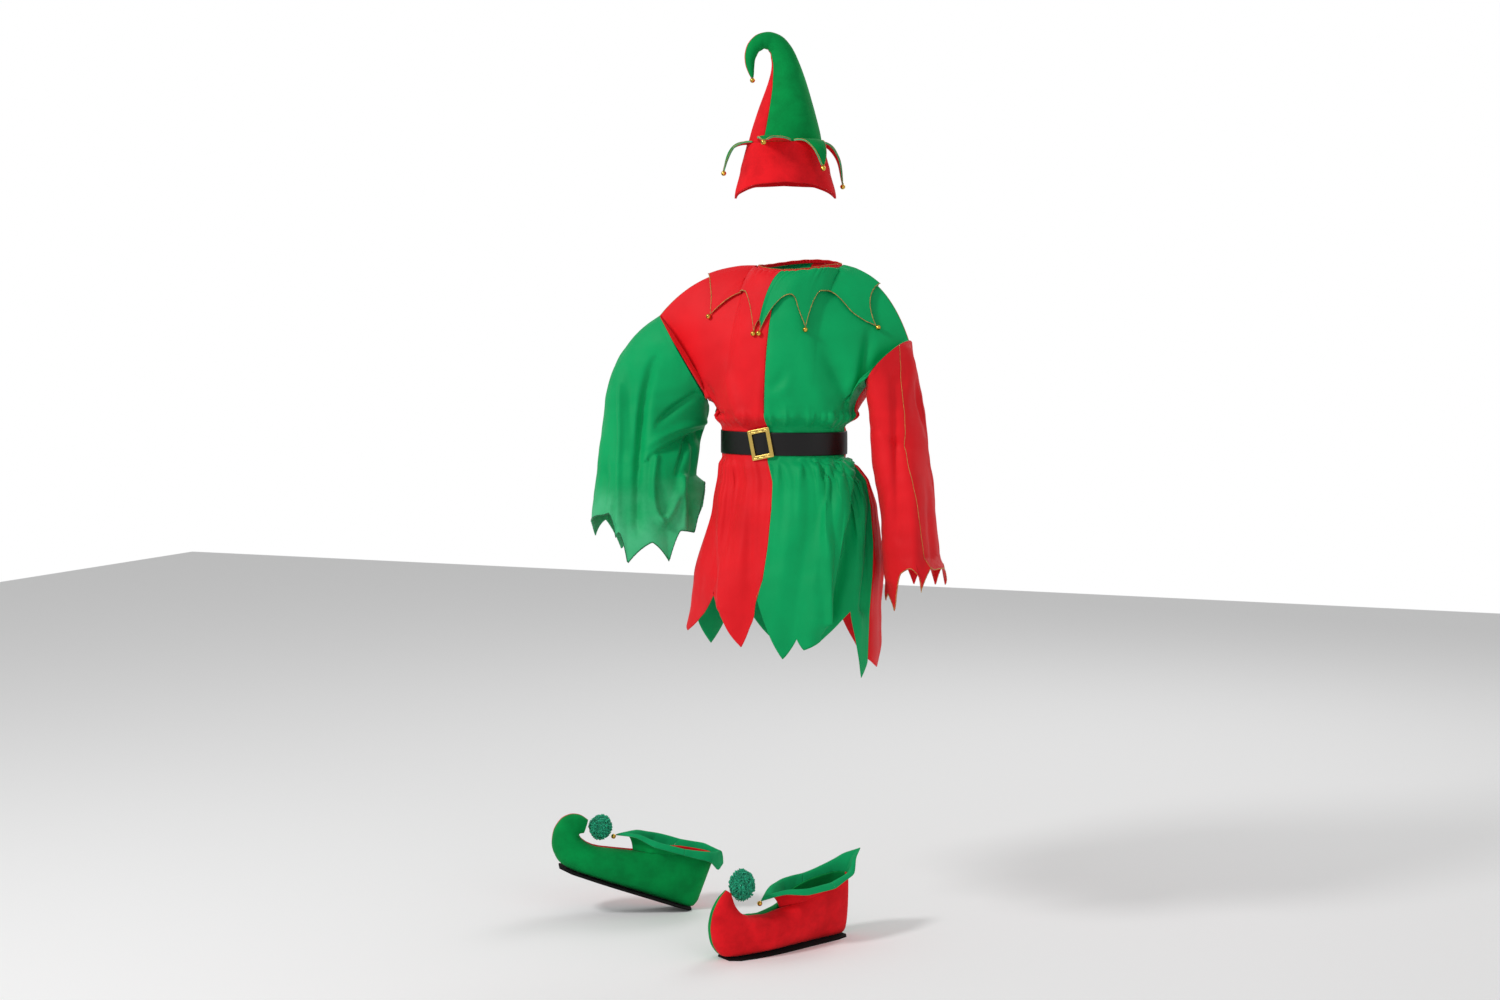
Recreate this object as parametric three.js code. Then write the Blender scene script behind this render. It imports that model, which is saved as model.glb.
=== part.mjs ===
// An elf costume as it is worn: cone hat, two-colour tunic with a petal
// collar and belt, and a pair of curled shoe covers. Millimetres, +Z up.
// The tunic faces -Y, its wearer's left is +X. Heights in the tables are above
// the floor, and the finished group is lowered so that the neck is the origin.
import * as THREE from "three";
import { mergeVertices } from "three/addons/utils/BufferGeometryUtils.js";

// Driving dimensions
const NECK_HEIGHT = 1420; // floor to the neck opening, and so the origin
const TURN = THREE.MathUtils.degToRad(22); // head, arms and feet are set out in a frame turned by this
const CLOTH = 1.5; // tunic cloth
const FELT = 3; // shoe covers and hat petals
const FOAM = 4; // foam-backed hat cone and brim
const SEAM = 0.4; // what parts two pieces at a seam
const BELL_RADIUS = 5.5;
const BELL_SEAT = 0.2; // from the cloth's point to the bell
const BELT = { low: 1033, high: 1081, thick: 2.4, clear: 0.45 };
const BUCKLE = { width: 51, height: 63, bar: 9, thick: 3, tilt: 12, angle: -5.5 };

const COLOUR = {
  red: 0xe31b23,
  green: 0x00a35c,
  hatGreen: 0x009245,
  black: 0x0d0a0b,
  gold: 0xe8c56a,
  pompom: 0x17a276,
};
const METAL = { roughness: 0.3, metalness: 1 };

// Small helpers
const { lerp, degToRad } = THREE.MathUtils;
const V = (x, y, z) => new THREE.Vector3(x, y, z);
const steps = (n) => Array.from({ length: n + 1 }, (_, i) => i / n);

// A point given across, towards the front and up in the turned frame.
function turned(across, forward, height) {
  return V(
    across * Math.cos(TURN) + forward * Math.sin(TURN),
    across * Math.sin(TURN) - forward * Math.cos(TURN),
    height,
  );
}

// Reads a table of rows by its first column, straight between rows.
function read(table, x) {
  const key = Object.keys(table[0])[0];
  const last = table.length - 1;
  let i = table.findIndex((row) => row[key] > x) - 1;
  if (x >= table[last][key]) i = last - 1;
  i = Math.max(0, Math.min(last - 1, i));
  const a = table[i];
  const b = table[i + 1];
  const t = THREE.MathUtils.clamp((x - a[key]) / (b[key] - a[key]), 0, 1);
  return Object.fromEntries(Object.keys(a).map((k) => [k, lerp(a[k], b[k], t)]));
}

// Outward unit normals of a grid of points, from its neighbours on both sides.
function gridNormals(grid, closed, flip) {
  const rows = grid.length;
  const columns = grid[0].length;
  return grid.map((line, i) =>
    line.map((_, j) => {
      const up = grid[Math.max(i - 1, 0)][j];
      const down = grid[Math.min(i + 1, rows - 1)][j];
      const before = closed ? (j + columns - 1) % columns : Math.max(j - 1, 0);
      const after = closed ? (j + 1) % columns : Math.min(j + 1, columns - 1);
      const alongRow = grid[i][after].clone().sub(grid[i][before]);
      const normal = down.clone().sub(up).cross(alongRow).normalize();
      return flip ? normal.negate() : normal;
    }),
  );
}

// A wall of cloth: the grid is its outer face, and the inner face lies one
// thickness behind it. Edges are closed with narrow rims.
function wall(grid, normals, thickness, { closed = false, flip = false } = {}) {
  const rows = grid.length;
  const columns = grid[0].length;
  const thick = typeof thickness === "function" ? thickness : () => thickness;
  const position = [];
  grid.forEach((line) => line.forEach((p) => position.push(p.x, p.y, p.z)));
  grid.forEach((line, i) =>
    line.forEach((p, j) => {
      const q = p.clone().addScaledVector(normals[i][j], -thick(i, j));
      position.push(q.x, q.y, q.z);
    }),
  );
  const inner = rows * columns;
  const at = (i, j) => i * columns + (j % columns);
  const index = [];
  const quad = (a, b, c, d) => {
    if (flip) index.push(a, c, b, a, d, c);
    else index.push(a, b, c, a, c, d);
  };
  const across = closed ? columns : columns - 1;
  for (let i = 0; i < rows - 1; i++)
    for (let j = 0; j < across; j++) {
      const [a, b, c, d] = [at(i, j), at(i + 1, j), at(i + 1, j + 1), at(i, j + 1)];
      quad(a, b, c, d);
      quad(inner + d, inner + c, inner + b, inner + a);
    }
  const rim = (a, b) => quad(b, a, inner + a, inner + b);
  for (let j = 0; j < across; j++) {
    rim(at(0, j + 1), at(0, j));
    rim(at(rows - 1, j), at(rows - 1, j + 1));
  }
  if (!closed)
    for (let i = 0; i < rows - 1; i++) {
      rim(at(i, 0), at(i + 1, 0));
      rim(at(i + 1, columns - 1), at(i, columns - 1));
    }
  const geometry = new THREE.BufferGeometry();
  geometry.setAttribute("position", new THREE.Float32BufferAttribute(position, 3));
  geometry.setIndex(index);
  return geometry;
}

// Cuts columns from..to out of a grid, and draws both side edges in by half a seam.
function panel(grid, normals, from, to, seam = SEAM) {
  const columns = grid[0].length;
  const pick = (line) => {
    const out = [];
    for (let j = from; j <= to; j++) out.push(line[(j + columns) % columns].clone());
    return out;
  };
  const cut = grid.map(pick);
  const last = to - from;
  cut.forEach((line) => {
    for (const [edge, next] of [[0, 1], [last, last - 1]]) {
      const inward = line[next].clone().sub(line[edge]);
      const reach = Math.min(seam / 2 / Math.max(inward.length(), 0.01), 0.4);
      line[edge].addScaledVector(inward, reach);
    }
  });
  return [cut, normals.map(pick)];
}

const costume = new THREE.Group();

function add(name, geometry, colour, finish = {}, parent = costume) {
  const material = new THREE.MeshStandardMaterial({
    color: colour,
    roughness: 0.85,
    metalness: 0,
    ...finish,
  });
  const mesh = new THREE.Mesh(geometry, material);
  mesh.name = name;
  parent.add(mesh);
  return mesh;
}

// A point on the ring that runs from outer to inner, half a depth to each side.
function ringPoint(outer, inner, depth, angle) {
  const centre = outer.clone().add(inner).multiplyScalar(0.5);
  return centre
    .clone()
    .addScaledVector(outer.clone().sub(centre), Math.cos(angle))
    .addScaledVector(depth, Math.sin(angle));
}

// Half the depth of a sleeve's ring, swung from the front of the turned frame.
function depthOf({ depth, swing }) {
  return turned(depth * Math.sin(degToRad(swing)), depth * Math.cos(degToRad(swing)), 0);
}

// Tunic: columns run round the body from the centre front, 18 to a quarter.
// On the front and on the back a quarter has the neck, the shoulder seam and the armhole.
const NECK_COLUMNS = 6;
const SHOULDER_COLUMNS = 11;
const QUARTER = 18;
const ROUND = 4 * QUARTER;
const YOKE_ROWS = 7;
const NECKLINE = { across: 10, halfWidth: 92, halfDepth: 78, front: 1408, side: 1420, back: 1432 };
const CHEST = { height: 1124, across: -22, halfWidth: 157, halfDepth: 118 };

// Each armhole: its upper and lower point and its half depth, in the turned frame.
const ARMHOLE = {
  left: { out: [233, 72, 1270], under: [150, 70, 1180], depth: 76, swing: -22, bend: [188, 52, 1406] },
  right: { out: [-287, -92, 1322], under: [-182, -80, 1140], depth: 80, swing: 0, bend: [-202, -66, 1426] },
};

// Where a column meets the chest: its angle from the centre front.
const CHEST_ANGLE = [
  { column: 0, angle: 0 },
  { column: NECK_COLUMNS, angle: 38 },
  { column: SHOULDER_COLUMNS, angle: 62 },
  { column: QUARTER, angle: 90 },
];

// Body sections from the chest to the hips.
const BODY = [
  { height: 1124, across: -22, halfWidth: 157, halfDepth: 118, gather: 1.2, fold: 0 },
  { height: 1113, across: -21, halfWidth: 158, halfDepth: 119, gather: 2.2, fold: 0 },
  { height: 1103, across: -22, halfWidth: 149, halfDepth: 109, gather: 2.2, fold: 0 },
  { height: 1092, across: -24, halfWidth: 135, halfDepth: 93, gather: 0, fold: 0 },
  { height: 1022, across: -24, halfWidth: 135, halfDepth: 93, gather: 0, fold: 0 },
  { height: 1012, across: -16, halfWidth: 148, halfDepth: 104, gather: 2.4, fold: 0.1 },
  { height: 980, across: -4, halfWidth: 162, halfDepth: 117, gather: 2, fold: 0.3 },
  { height: 925, across: -2, halfWidth: 174, halfDepth: 130, gather: 1, fold: 0.6 },
  { height: 850, across: -6, halfWidth: 188, halfDepth: 140, gather: 0.5, fold: 0.9 },
  { height: 780, across: -14, halfWidth: 198, halfDepth: 147, gather: 0.3, fold: 1 },
];
const HEM_SECTION = { across: -25, halfWidth: 204, halfDepth: 152, gather: 0, fold: 1.1 };
const HEM_STEPS = [0.34, 0.68, 1];

const WAIST_ROW = 4;

// Points and notches of the skirt hem, by column from the centre front.
const HEM_LEFT = [
  { column: 0, angle: 0, height: 745 },
  { column: 3, angle: 16, height: 620 },
  { column: 5, angle: 24, height: 662 },
  { column: 6, angle: 28, height: 640 },
  { column: 12, angle: 59, height: 716 },
  { column: 15, angle: 71, height: 575 },
  { column: 18, angle: 79, height: 612 },
  { column: 21, angle: 98, height: 588 },
  { column: 25, angle: 121, height: 715 },
  { column: 29, angle: 141, height: 592 },
  { column: 33, angle: 162, height: 712 },
  { column: 35, angle: 173, height: 640 },
  { column: 36, angle: 180, height: 700 },
];
const HEM_RIGHT = [
  { column: 0, angle: 0, height: 745 },
  { column: 3, angle: 9.5, height: 640 },
  { column: 8, angle: 30, height: 748 },
  { column: 14, angle: 60, height: 658 },
  { column: 16, angle: 76, height: 695 },
  { column: 18, angle: 90, height: 735 },
  { column: 22, angle: 112, height: 612 },
  { column: 27, angle: 135, height: 722 },
  { column: 32, angle: 158, height: 614 },
  { column: 36, angle: 180, height: 700 },
];

// Long skirt folds: angle at the waist and at the hem, width in degrees and height in mm.
const FOLDS = [
  { top: 62, low: 32, width: 7, height: 13 },
  { top: 30, low: 12, width: 8, height: 6 },
  { top: 84, low: 64, width: 6, height: 6 },
  { top: -22, low: -18, width: 7, height: 7 },
  { top: -55, low: -62, width: 9, height: 9 },
  { top: -92, low: -100, width: 8, height: 8 },
  { top: 118, low: 112, width: 8, height: 9 },
  { top: 150, low: 146, width: 8, height: 8 },
  { top: -128, low: -132, width: 8, height: 9 },
  { top: -160, low: -166, width: 8, height: 7 },
];

const sideOf = (column) => (column < 0 ? "right" : "left");

// Upper edge of the body at a column: neckline, shoulder seam, then armhole.
function upperEdge(column) {
  const hole = ARMHOLE[sideOf(column)];
  const sign = column < 0 ? -1 : 1;
  const c = Math.abs(column);
  const rear = c > QUARTER;
  const quarter = rear ? 2 * QUARTER - c : c;
  const out = turned(...hole.out);
  if (quarter >= SHOULDER_COLUMNS) {
    const t = (quarter - SHOULDER_COLUMNS) / (QUARTER - SHOULDER_COLUMNS);
    const angle = t * Math.PI * (rear ? -1 : 1);
    return ringPoint(out, turned(...hole.under), depthOf(hole), angle);
  }
  const neckAngle = degToRad(90 * Math.min(quarter / NECK_COLUMNS, 1));
  const centre = turned(NECKLINE.across, 0, 0);
  const level = rear ? NECKLINE.back : NECKLINE.front;
  const neck = V(
    centre.x + sign * NECKLINE.halfWidth * Math.sin(neckAngle),
    centre.y + (rear ? 1 : -1) * NECKLINE.halfDepth * Math.cos(neckAngle),
    lerp(level, NECKLINE.side, Math.sin(neckAngle) ** 2),
  );
  if (quarter <= NECK_COLUMNS) return neck;
  const t = (quarter - NECK_COLUMNS) / (SHOULDER_COLUMNS - NECK_COLUMNS);
  const seam = new THREE.QuadraticBezierCurve3(neck, turned(...hole.bend), out);
  return seam.getPoint(t);
}

// A point of a body section, angle in degrees from the centre front.
function sectionPoint(section, angle, height, swell = 0) {
  const centre = turned(section.across, 0, 0);
  const a = degToRad(angle);
  return V(
    centre.x + (section.halfWidth + swell) * Math.sin(a),
    centre.y - (section.halfDepth + swell) * Math.cos(a),
    height,
  );
}

function chestAngle(column) {
  const c = Math.abs(column);
  const quarter = c > QUARTER ? 2 * QUARTER - c : c;
  const angle = read(CHEST_ANGLE, quarter).angle;
  return Math.sign(column) * (c > QUARTER ? 180 - angle : angle);
}

// The yoke hangs from its upper edge to the chest. Below the neck it goes
// forward like a sine and down like one minus a cosine; off the armhole it
// first goes in towards the body, and then back and down.
function yokePoint(column, down) {
  const top = upperEdge(column);
  const base = sectionPoint(CHEST, chestAngle(column), CHEST.height);
  const c = Math.abs(column);
  const quarter = c > QUARTER ? 2 * QUARTER - c : c;
  const shoulder = THREE.MathUtils.smoothstep(quarter, 3, SHOULDER_COLUMNS);
  const armhole = THREE.MathUtils.smoothstep(quarter, SHOULDER_COLUMNS - 1, SHOULDER_COLUMNS + 3);
  const rise = Math.sin((down * Math.PI) / 2);
  const fall = 1 - Math.cos((down * Math.PI) / 2);
  const across = lerp(lerp(rise, down ** 1.15, shoulder), rise, armhole);
  return V(
    lerp(top.x, base.x, across),
    lerp(top.y, base.y, lerp(rise, down ** 2, armhole)),
    lerp(top.z, base.z, lerp(fall, down, 0.6 * shoulder + 0.4 * armhole)),
  );
}

// Height of the skirt folds at an angle, growing from the waist to the hem.
function foldHeight(angle, weight) {
  return FOLDS.reduce((sum, fold) => {
    const ridge = lerp(fold.top, fold.low, Math.min(weight, 1));
    const apart = ((angle - ridge + 540) % 360) - 180;
    return sum + fold.height * weight * Math.exp(-((apart / fold.width) ** 2));
  }, 0);
}

function bodyPoint(section, column, height, angle) {
  const gather = section.gather * Math.cos(column * Math.PI * 0.67 + Math.sin(column));
  const swell = gather + foldHeight(angle, section.fold);
  return sectionPoint(section, angle, height, swell);
}

function hemAt(column) {
  return read(column < 0 ? HEM_RIGHT : HEM_LEFT, Math.abs(column));
}

function skirtAngle(column, height) {
  const hem = hemAt(column);
  const low = Math.sign(column) * hem.angle;
  const share = THREE.MathUtils.clamp((BODY[WAIST_ROW].height - height) / 322, 0, 1);
  return lerp(chestAngle(column), low, share);
}

function tunicGrid() {
  const columns = Array.from({ length: ROUND }, (_, k) => (k <= ROUND / 2 ? k : k - ROUND));
  const grid = steps(YOKE_ROWS).map((down) => columns.map((c) => yokePoint(c, down)));
  for (const section of BODY.slice(1))
    grid.push(
      columns.map((c) => bodyPoint(section, c, section.height, skirtAngle(c, section.height))),
    );
  const last = BODY[BODY.length - 1];
  for (const t of HEM_STEPS) {
    const section = Object.fromEntries(
      Object.keys(HEM_SECTION).map((k) => [k, lerp(last[k], HEM_SECTION[k], t)]),
    );
    grid.push(
      columns.map((c) => {
        const height = lerp(last.height, hemAt(c).height, t);
        return bodyPoint(section, c, height, skirtAngle(c, Math.max(height, 700)));
      }),
    );
  }
  return grid;
}

// Along the arm, square to the armhole's ring.
function armAxis(hole) {
  const axis = turned(...hole.out).sub(turned(...hole.under)).cross(depthOf(hole));
  return axis.multiplyScalar(-Math.sign(axis.z)).normalize();
}

// Straight out from the armhole's axis at a point, and how far the point is
// over the arm: 0 at the side and below it, 1 on top.
function aroundArm(hole, point) {
  const top = turned(...hole.out);
  const centre = top.clone().add(turned(...hole.under)).multiplyScalar(0.5);
  const axis = armAxis(hole);
  const out = point.clone().sub(centre);
  const radial = out.clone().addScaledVector(axis, -out.dot(axis)).normalize();
  const over = radial.dot(top.sub(centre).normalize());
  return { radial, over: THREE.MathUtils.smoothstep(over, 0.2, 0.9) };
}

// Over the arm, body and sleeve meet square to the ring's edge. Under it they
// hang side by side, so each keeps its own normal there.
function armholeNormal(hole, point, own) {
  const { radial, over } = aroundArm(hole, point);
  return own.clone().lerp(radial, over).normalize();
}

const tunic = tunicGrid();
const tunicNormals = gridNormals(tunic, true, false);
tunic[0].forEach((point, k) => {
  const column = k <= ROUND / 2 ? k : k - ROUND;
  const c = Math.abs(column);
  const quarter = c > QUARTER ? 2 * QUARTER - c : c;
  const hole = ARMHOLE[sideOf(column)];
  // The front and the back part at the shoulder seam.
  if (quarter >= NECK_COLUMNS && quarter <= SHOULDER_COLUMNS)
    point.y += (c > QUARTER ? 1 : -1) * (SEAM / 2);
  if (quarter >= SHOULDER_COLUMNS) tunicNormals[0][k] = armholeNormal(hole, point, tunicNormals[0][k]);
  else if (quarter >= NECK_COLUMNS) {
    const along = upperEdge(Math.sign(column) * (NECK_COLUMNS + 0.01))
      .sub(turned(...hole.out))
      .setY(0);
    tunicNormals[0][k] = V(Math.abs(along.z) * Math.sign(column), 0, Math.abs(along.x)).normalize();
  }
});

const PANELS = [
  { name: "tunic_front_green", from: 0, to: QUARTER, colour: COLOUR.green },
  { name: "tunic_back_red", from: QUARTER, to: 2 * QUARTER, colour: COLOUR.red },
  { name: "tunic_back_green", from: 2 * QUARTER, to: 3 * QUARTER, colour: COLOUR.green },
  { name: "tunic_front_red", from: 3 * QUARTER, to: 4 * QUARTER, colour: COLOUR.red },
];
for (const { name, from, to, colour } of PANELS)
  add(name, wall(...panel(tunic, tunicNormals, from, to), CLOTH), colour);

// Sleeves: each row is a ring from its outer to its inner point in the turned
// frame, with the forward shift and the half depth of its middle.
const SLEEVE_LEFT = [
  { out: 233, outZ: 1270, in: 150, inZ: 1180, forward: 71, depth: 76, swing: -22 },
  { out: 242, outZ: 1239, in: 153, inZ: 1152, forward: 72, depth: 73, swing: -22 },
  { out: 251, outZ: 1198, in: 155, inZ: 1123, forward: 74, depth: 71, swing: -20 },
  { out: 262, outZ: 1133, in: 154, inZ: 1084, forward: 76, depth: 71, swing: -17 },
  { out: 274, outZ: 1049, in: 160, inZ: 1030, forward: 76, depth: 77, swing: -14 },
  { out: 284, outZ: 966, in: 169, inZ: 961, forward: 80, depth: 84, swing: -10 },
  { out: 294, outZ: 877, in: 180, inZ: 877, forward: 84, depth: 91, swing: -6 },
  { out: 299, outZ: 823, in: 184, inZ: 823, forward: 86, depth: 95, swing: -3 },
];
const SLEEVE_RIGHT = [
  { out: -287, outZ: 1322, in: -182, inZ: 1140, forward: -86, depth: 80, swing: 0 },
  { out: -322, outZ: 1298, in: -184, inZ: 1117, forward: -92, depth: 78, swing: 0 },
  { out: -357, outZ: 1262, in: -187, inZ: 1099, forward: -98, depth: 74, swing: 0 },
  { out: -385, outZ: 1218, in: -193, inZ: 1081, forward: -102, depth: 70, swing: 0 },
  { out: -403, outZ: 1162, in: -199, inZ: 1059, forward: -98, depth: 70, swing: 0 },
  { out: -410, outZ: 1096, in: -203, inZ: 1035, forward: -88, depth: 74, swing: 0 },
  { out: -419, outZ: 1014, in: -207, inZ: 1004, forward: -76, depth: 82, swing: 0 },
  { out: -428, outZ: 948, in: -209, inZ: 979, forward: -68, depth: 88, swing: 0 },
];
// Hem points and notches of a sleeve, by angle round the ring from its outer edge.
const CUFF_LEFT = [
  { angle: 0, height: 765 },
  { angle: 30, height: 804 },
  { angle: 66, height: 811 },
  { angle: 87, height: 761 },
  { angle: 108, height: 808 },
  { angle: 124, height: 797 },
  { angle: 142, height: 717 },
  { angle: 165, height: 748 },
  { angle: 180, height: 732 },
  { angle: 205, height: 798 },
  { angle: 228, height: 750 },
  { angle: 250, height: 805 },
  { angle: 274, height: 752 },
  { angle: 298, height: 807 },
  { angle: 320, height: 756 },
  { angle: 342, height: 804 },
  { angle: 360, height: 765 },
];
const CUFF_RIGHT = [
  { angle: 0, height: 881 },
  { angle: 50, height: 906 },
  { angle: 58, height: 853 },
  { angle: 62, height: 868 },
  { angle: 71, height: 801 },
  { angle: 96, height: 847 },
  { angle: 113, height: 805 },
  { angle: 126, height: 870 },
  { angle: 146, height: 864 },
  { angle: 163, height: 934 },
  { angle: 180, height: 968 },
  { angle: 200, height: 914 },
  { angle: 218, height: 858 },
  { angle: 238, height: 894 },
  { angle: 258, height: 820 },
  { angle: 280, height: 872 },
  { angle: 301, height: 814 },
  { angle: 322, height: 882 },
  { angle: 342, height: 850 },
  { angle: 360, height: 881 },
];
const SLEEVE_SEAM = { over: 0.5, under: 2.4 }; // along the arm, over it and under it
const CUFF_STEP = 0.55; // the row between the last ring and the hem

function sleeve(side, table, cuffs, cuffRing) {
  const hole = ARMHOLE[side];
  const angles = cuffs.slice(0, -1).map((row) => row.angle);
  const ring = (row, angle) => {
    const outer = turned(row.out, row.forward, row.outZ);
    const inner = turned(row.in, row.forward, row.inZ);
    return ringPoint(outer, inner, depthOf(row), degToRad(angle));
  };
  const grid = table.map((row) => angles.map((a) => ring(row, a)));
  for (const t of [CUFF_STEP, 1])
    grid.push(
      angles.map((a, j) => {
        const from = ring(table[table.length - 1], a);
        const to = ring(cuffRing, a);
        return V(
          lerp(from.x, to.x, t),
          lerp(from.y, to.y, t),
          lerp(from.z, cuffs[j].height, t),
        );
      }),
    );
  const normals = gridNormals(grid, true, side === "left");
  const away = armAxis(hole);
  grid[0].forEach((point, j) => {
    const angle = degToRad(angles[j]);
    point.copy(ringPoint(turned(...hole.out), turned(...hole.under), depthOf(hole), angle));
    normals[0][j] = armholeNormal(hole, point, normals[0][j]);
    const { over } = aroundArm(hole, point);
    point.addScaledVector(away, lerp(SLEEVE_SEAM.under, SLEEVE_SEAM.over, over));
  });
  return { grid, normals, half: angles.indexOf(180), count: angles.length };
}

const LEFT_CUFF_RING = { out: 311, outZ: 778, in: 186, inZ: 778, forward: 88, depth: 102, swing: 0 };
const RIGHT_CUFF_RING = { out: -434, outZ: 872, in: -190, inZ: 953, forward: -62, depth: 98, swing: 0 };
for (const [side, table, cuffs, cuffRing, colour] of [
  ["left", SLEEVE_LEFT, CUFF_LEFT, LEFT_CUFF_RING, COLOUR.red],
  ["right", SLEEVE_RIGHT, CUFF_RIGHT, RIGHT_CUFF_RING, COLOUR.green],
]) {
  const { grid, normals, half, count } = sleeve(side, table, cuffs, cuffRing);
  const flip = { flip: side === "left" };
  add(`sleeve_${side}_front`, wall(...panel(grid, normals, 0, half), CLOTH, flip), colour);
  add(`sleeve_${side}_back`, wall(...panel(grid, normals, half, count), CLOTH, flip), colour);
}

// Neck edge: a narrow gathered band that stands on the neckline.
const NECK_EDGE = { height: 7, thick: 3, lift: 0.95, columns: 4 * NECK_COLUMNS };

function neckEdge() {
  const centre = turned(NECKLINE.across, 0, 0);
  const row = (up) =>
    Array.from({ length: NECK_EDGE.columns }, (_, k) => {
      const a = (k / NECK_EDGE.columns) * 2 * Math.PI;
      const level = Math.cos(a) > 0 ? NECKLINE.front : NECKLINE.back;
      return V(
        centre.x + (NECKLINE.halfWidth - 0.3 - up * 0.5) * Math.sin(a),
        centre.y - (NECKLINE.halfDepth - 0.3 - up * 0.5) * Math.cos(a),
        lerp(level, NECKLINE.side, Math.sin(a) ** 2) + up,
      );
    });
  const grid = [row(NECK_EDGE.lift + NECK_EDGE.height), row(NECK_EDGE.lift)];
  return wall(grid, gridNormals(grid, true, false), NECK_EDGE.thick, { closed: true });
}
add("neck_edge", neckEdge(), COLOUR.red);

// Collar: ten petals that lie on the yoke, five of each colour. A petal runs
// from the neckline to its reach on the yoke, a column and a share of the way down.
const COLLAR_OFFSET = { neck: 2.7, hem: 5.2 }; // outer face above the tunic
const COLLAR_THICK = 1.5;
const RIDGE_LIFT = 1.5; // more over the shoulder seam, where the yoke turns over
const PETALS = 10;
const PETAL_START = -18; // where the colours meet at the reach, so that a notch is on each shoulder seam
const NECK_SWING = 16; // how far the front petals start to the wearer's left of that
const PLAIN_PETAL = { skew: 0, length: 1, before: 2, after: 2 };
const COLLAR_PETALS = [
  // how far each point leans, its length, and how fast each side falls away to its notch
  { skew: -14.5, length: 1, before: 2, after: 2 },
  { skew: 10, length: 1, before: 2, after: 2 },
  { skew: 12, length: 1, before: 4, after: 2 },
  ...Array(5).fill(PLAIN_PETAL),
  { skew: -4, length: 0.86, before: 2, after: 6 },
  { skew: 11.5, length: 1, before: 1.3, after: 2 },
];
const COLLAR_NOTCHES = [
  // the notch before each petal: how far it reaches and how far it leans
  { reach: 0.9, skew: 0 },
  ...Array(8).fill({ reach: 0.6, skew: 0 }),
  { reach: 0.6, skew: 14 },
];
const PETAL_SHAPE = [-1, -0.86, -0.6, -0.28, 0, 0.28, 0.6, 0.86, 1];
const COLLAR_ROWS = 5;
const REACH = [
  { angle: 0, column: 0, down: 0.6 },
  { angle: 22, column: 1.4, down: 0.61 },
  { angle: 38, column: 3, down: 0.61 },
  { angle: 58, column: 6, down: 0.57 },
  { angle: 76, column: 8.8, down: 0.48 },
  { angle: 84, column: 9.5, down: 0.3 },
  { angle: 90, column: 9.8, down: 0 },
];

// A point over the yoke at an angle round the neck, t of the way to the reach.
function collarPoint(angle, t, lift) {
  const wrapped = ((angle + 540) % 360) - 180;
  const sign = wrapped < 0 ? -1 : 1;
  const a = Math.abs(wrapped);
  const rear = a > 90;
  const quarter = rear ? 180 - a : a;
  const reach = read(REACH, quarter);
  const c = lerp((quarter / 90) * NECK_COLUMNS, reach.column, t);
  const column = sign * (rear ? 2 * QUARTER - c : c);
  const down = lerp(0.02, reach.down, t);
  const step = 0.02;
  const point = yokePoint(column, down);
  const side = yokePoint(column + step, down).sub(yokePoint(column - step, down));
  const drop = yokePoint(column, down + step).sub(yokePoint(column, down - step < 0 ? 0 : down - step));
  const normal = drop.cross(side).normalize();
  normal.y *= 1 - THREE.MathUtils.smoothstep(quarter, 82, 90);
  normal.normalize();
  const raised = lift + RIDGE_LIFT * THREE.MathUtils.smoothstep(quarter, 66, 84);
  return { point: point.addScaledVector(normal, raised), normal };
}

function notchBeside(k, share) {
  return COLLAR_NOTCHES[(share < 0 ? k : k + 1) % PETALS];
}

// How far out the edge of the collar is along a petal.
function petalReach(k, share) {
  const petal = COLLAR_PETALS[k];
  const power = share < 0 ? petal.before : petal.after;
  return lerp(petal.length, notchBeside(k, share).reach, 1 - (1 - Math.abs(share)) ** power);
}

// Angle round the neck of a petal's line, t of the way out.
function petalAngle(k, share, t) {
  const angle = PETAL_START + (k + 0.5 + share / 2) * (360 / PETALS);
  const front = Math.abs(((angle + 180) % 360) - 180);
  const swing = NECK_SWING * (1 - t) * (1 - THREE.MathUtils.smoothstep(front, 12, 74));
  return angle + swing + lerp(COLLAR_PETALS[k].skew, notchBeside(k, share).skew, Math.abs(share)) * t;
}

const bells = [];
for (const [name, first, colour] of [
  ["collar_green", 0, COLOUR.green],
  ["collar_red", 5, COLOUR.red],
]) {
  const stations = [];
  for (let k = first; k < first + PETALS / 2; k++)
    for (const share of PETAL_SHAPE.slice(k === first ? 0 : 1)) stations.push({ k, share });
  const ends = stations.length - 1;
  const grid = [];
  const normals = [];
  for (const t of steps(COLLAR_ROWS)) {
    const line = stations.map(({ k, share }, j) => {
      const inset = j === 0 ? 0.3 : j === ends ? -0.3 : 0;
      const reach = petalReach(k, share) * t;
      const lift = lerp(COLLAR_OFFSET.neck, COLLAR_OFFSET.hem, Math.min(3 * t, 1));
      return collarPoint(petalAngle(k, share, reach) + inset, reach, lift);
    });
    grid.push(line.map((s) => s.point));
    normals.push(line.map((s) => s.normal));
  }
  add(name, wall(grid, normals, COLLAR_THICK), colour);
  for (let k = first; k < first + PETALS / 2; k++) {
    const { length } = COLLAR_PETALS[k];
    const tip = collarPoint(petalAngle(k, 0, length), length, 0);
    const before = collarPoint(petalAngle(k, 0, length - 0.05), length - 0.05, 0);
    const along = tip.point.clone().sub(before.point).normalize();
    const centre = tip.point
      .clone()
      .addScaledVector(along, BELL_RADIUS + BELL_SEAT)
      .addScaledVector(tip.normal, BELL_RADIUS + BELL_SEAT);
    bells.push({ name: `bell_collar_${k + 1}`, centre });
  }
}

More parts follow.
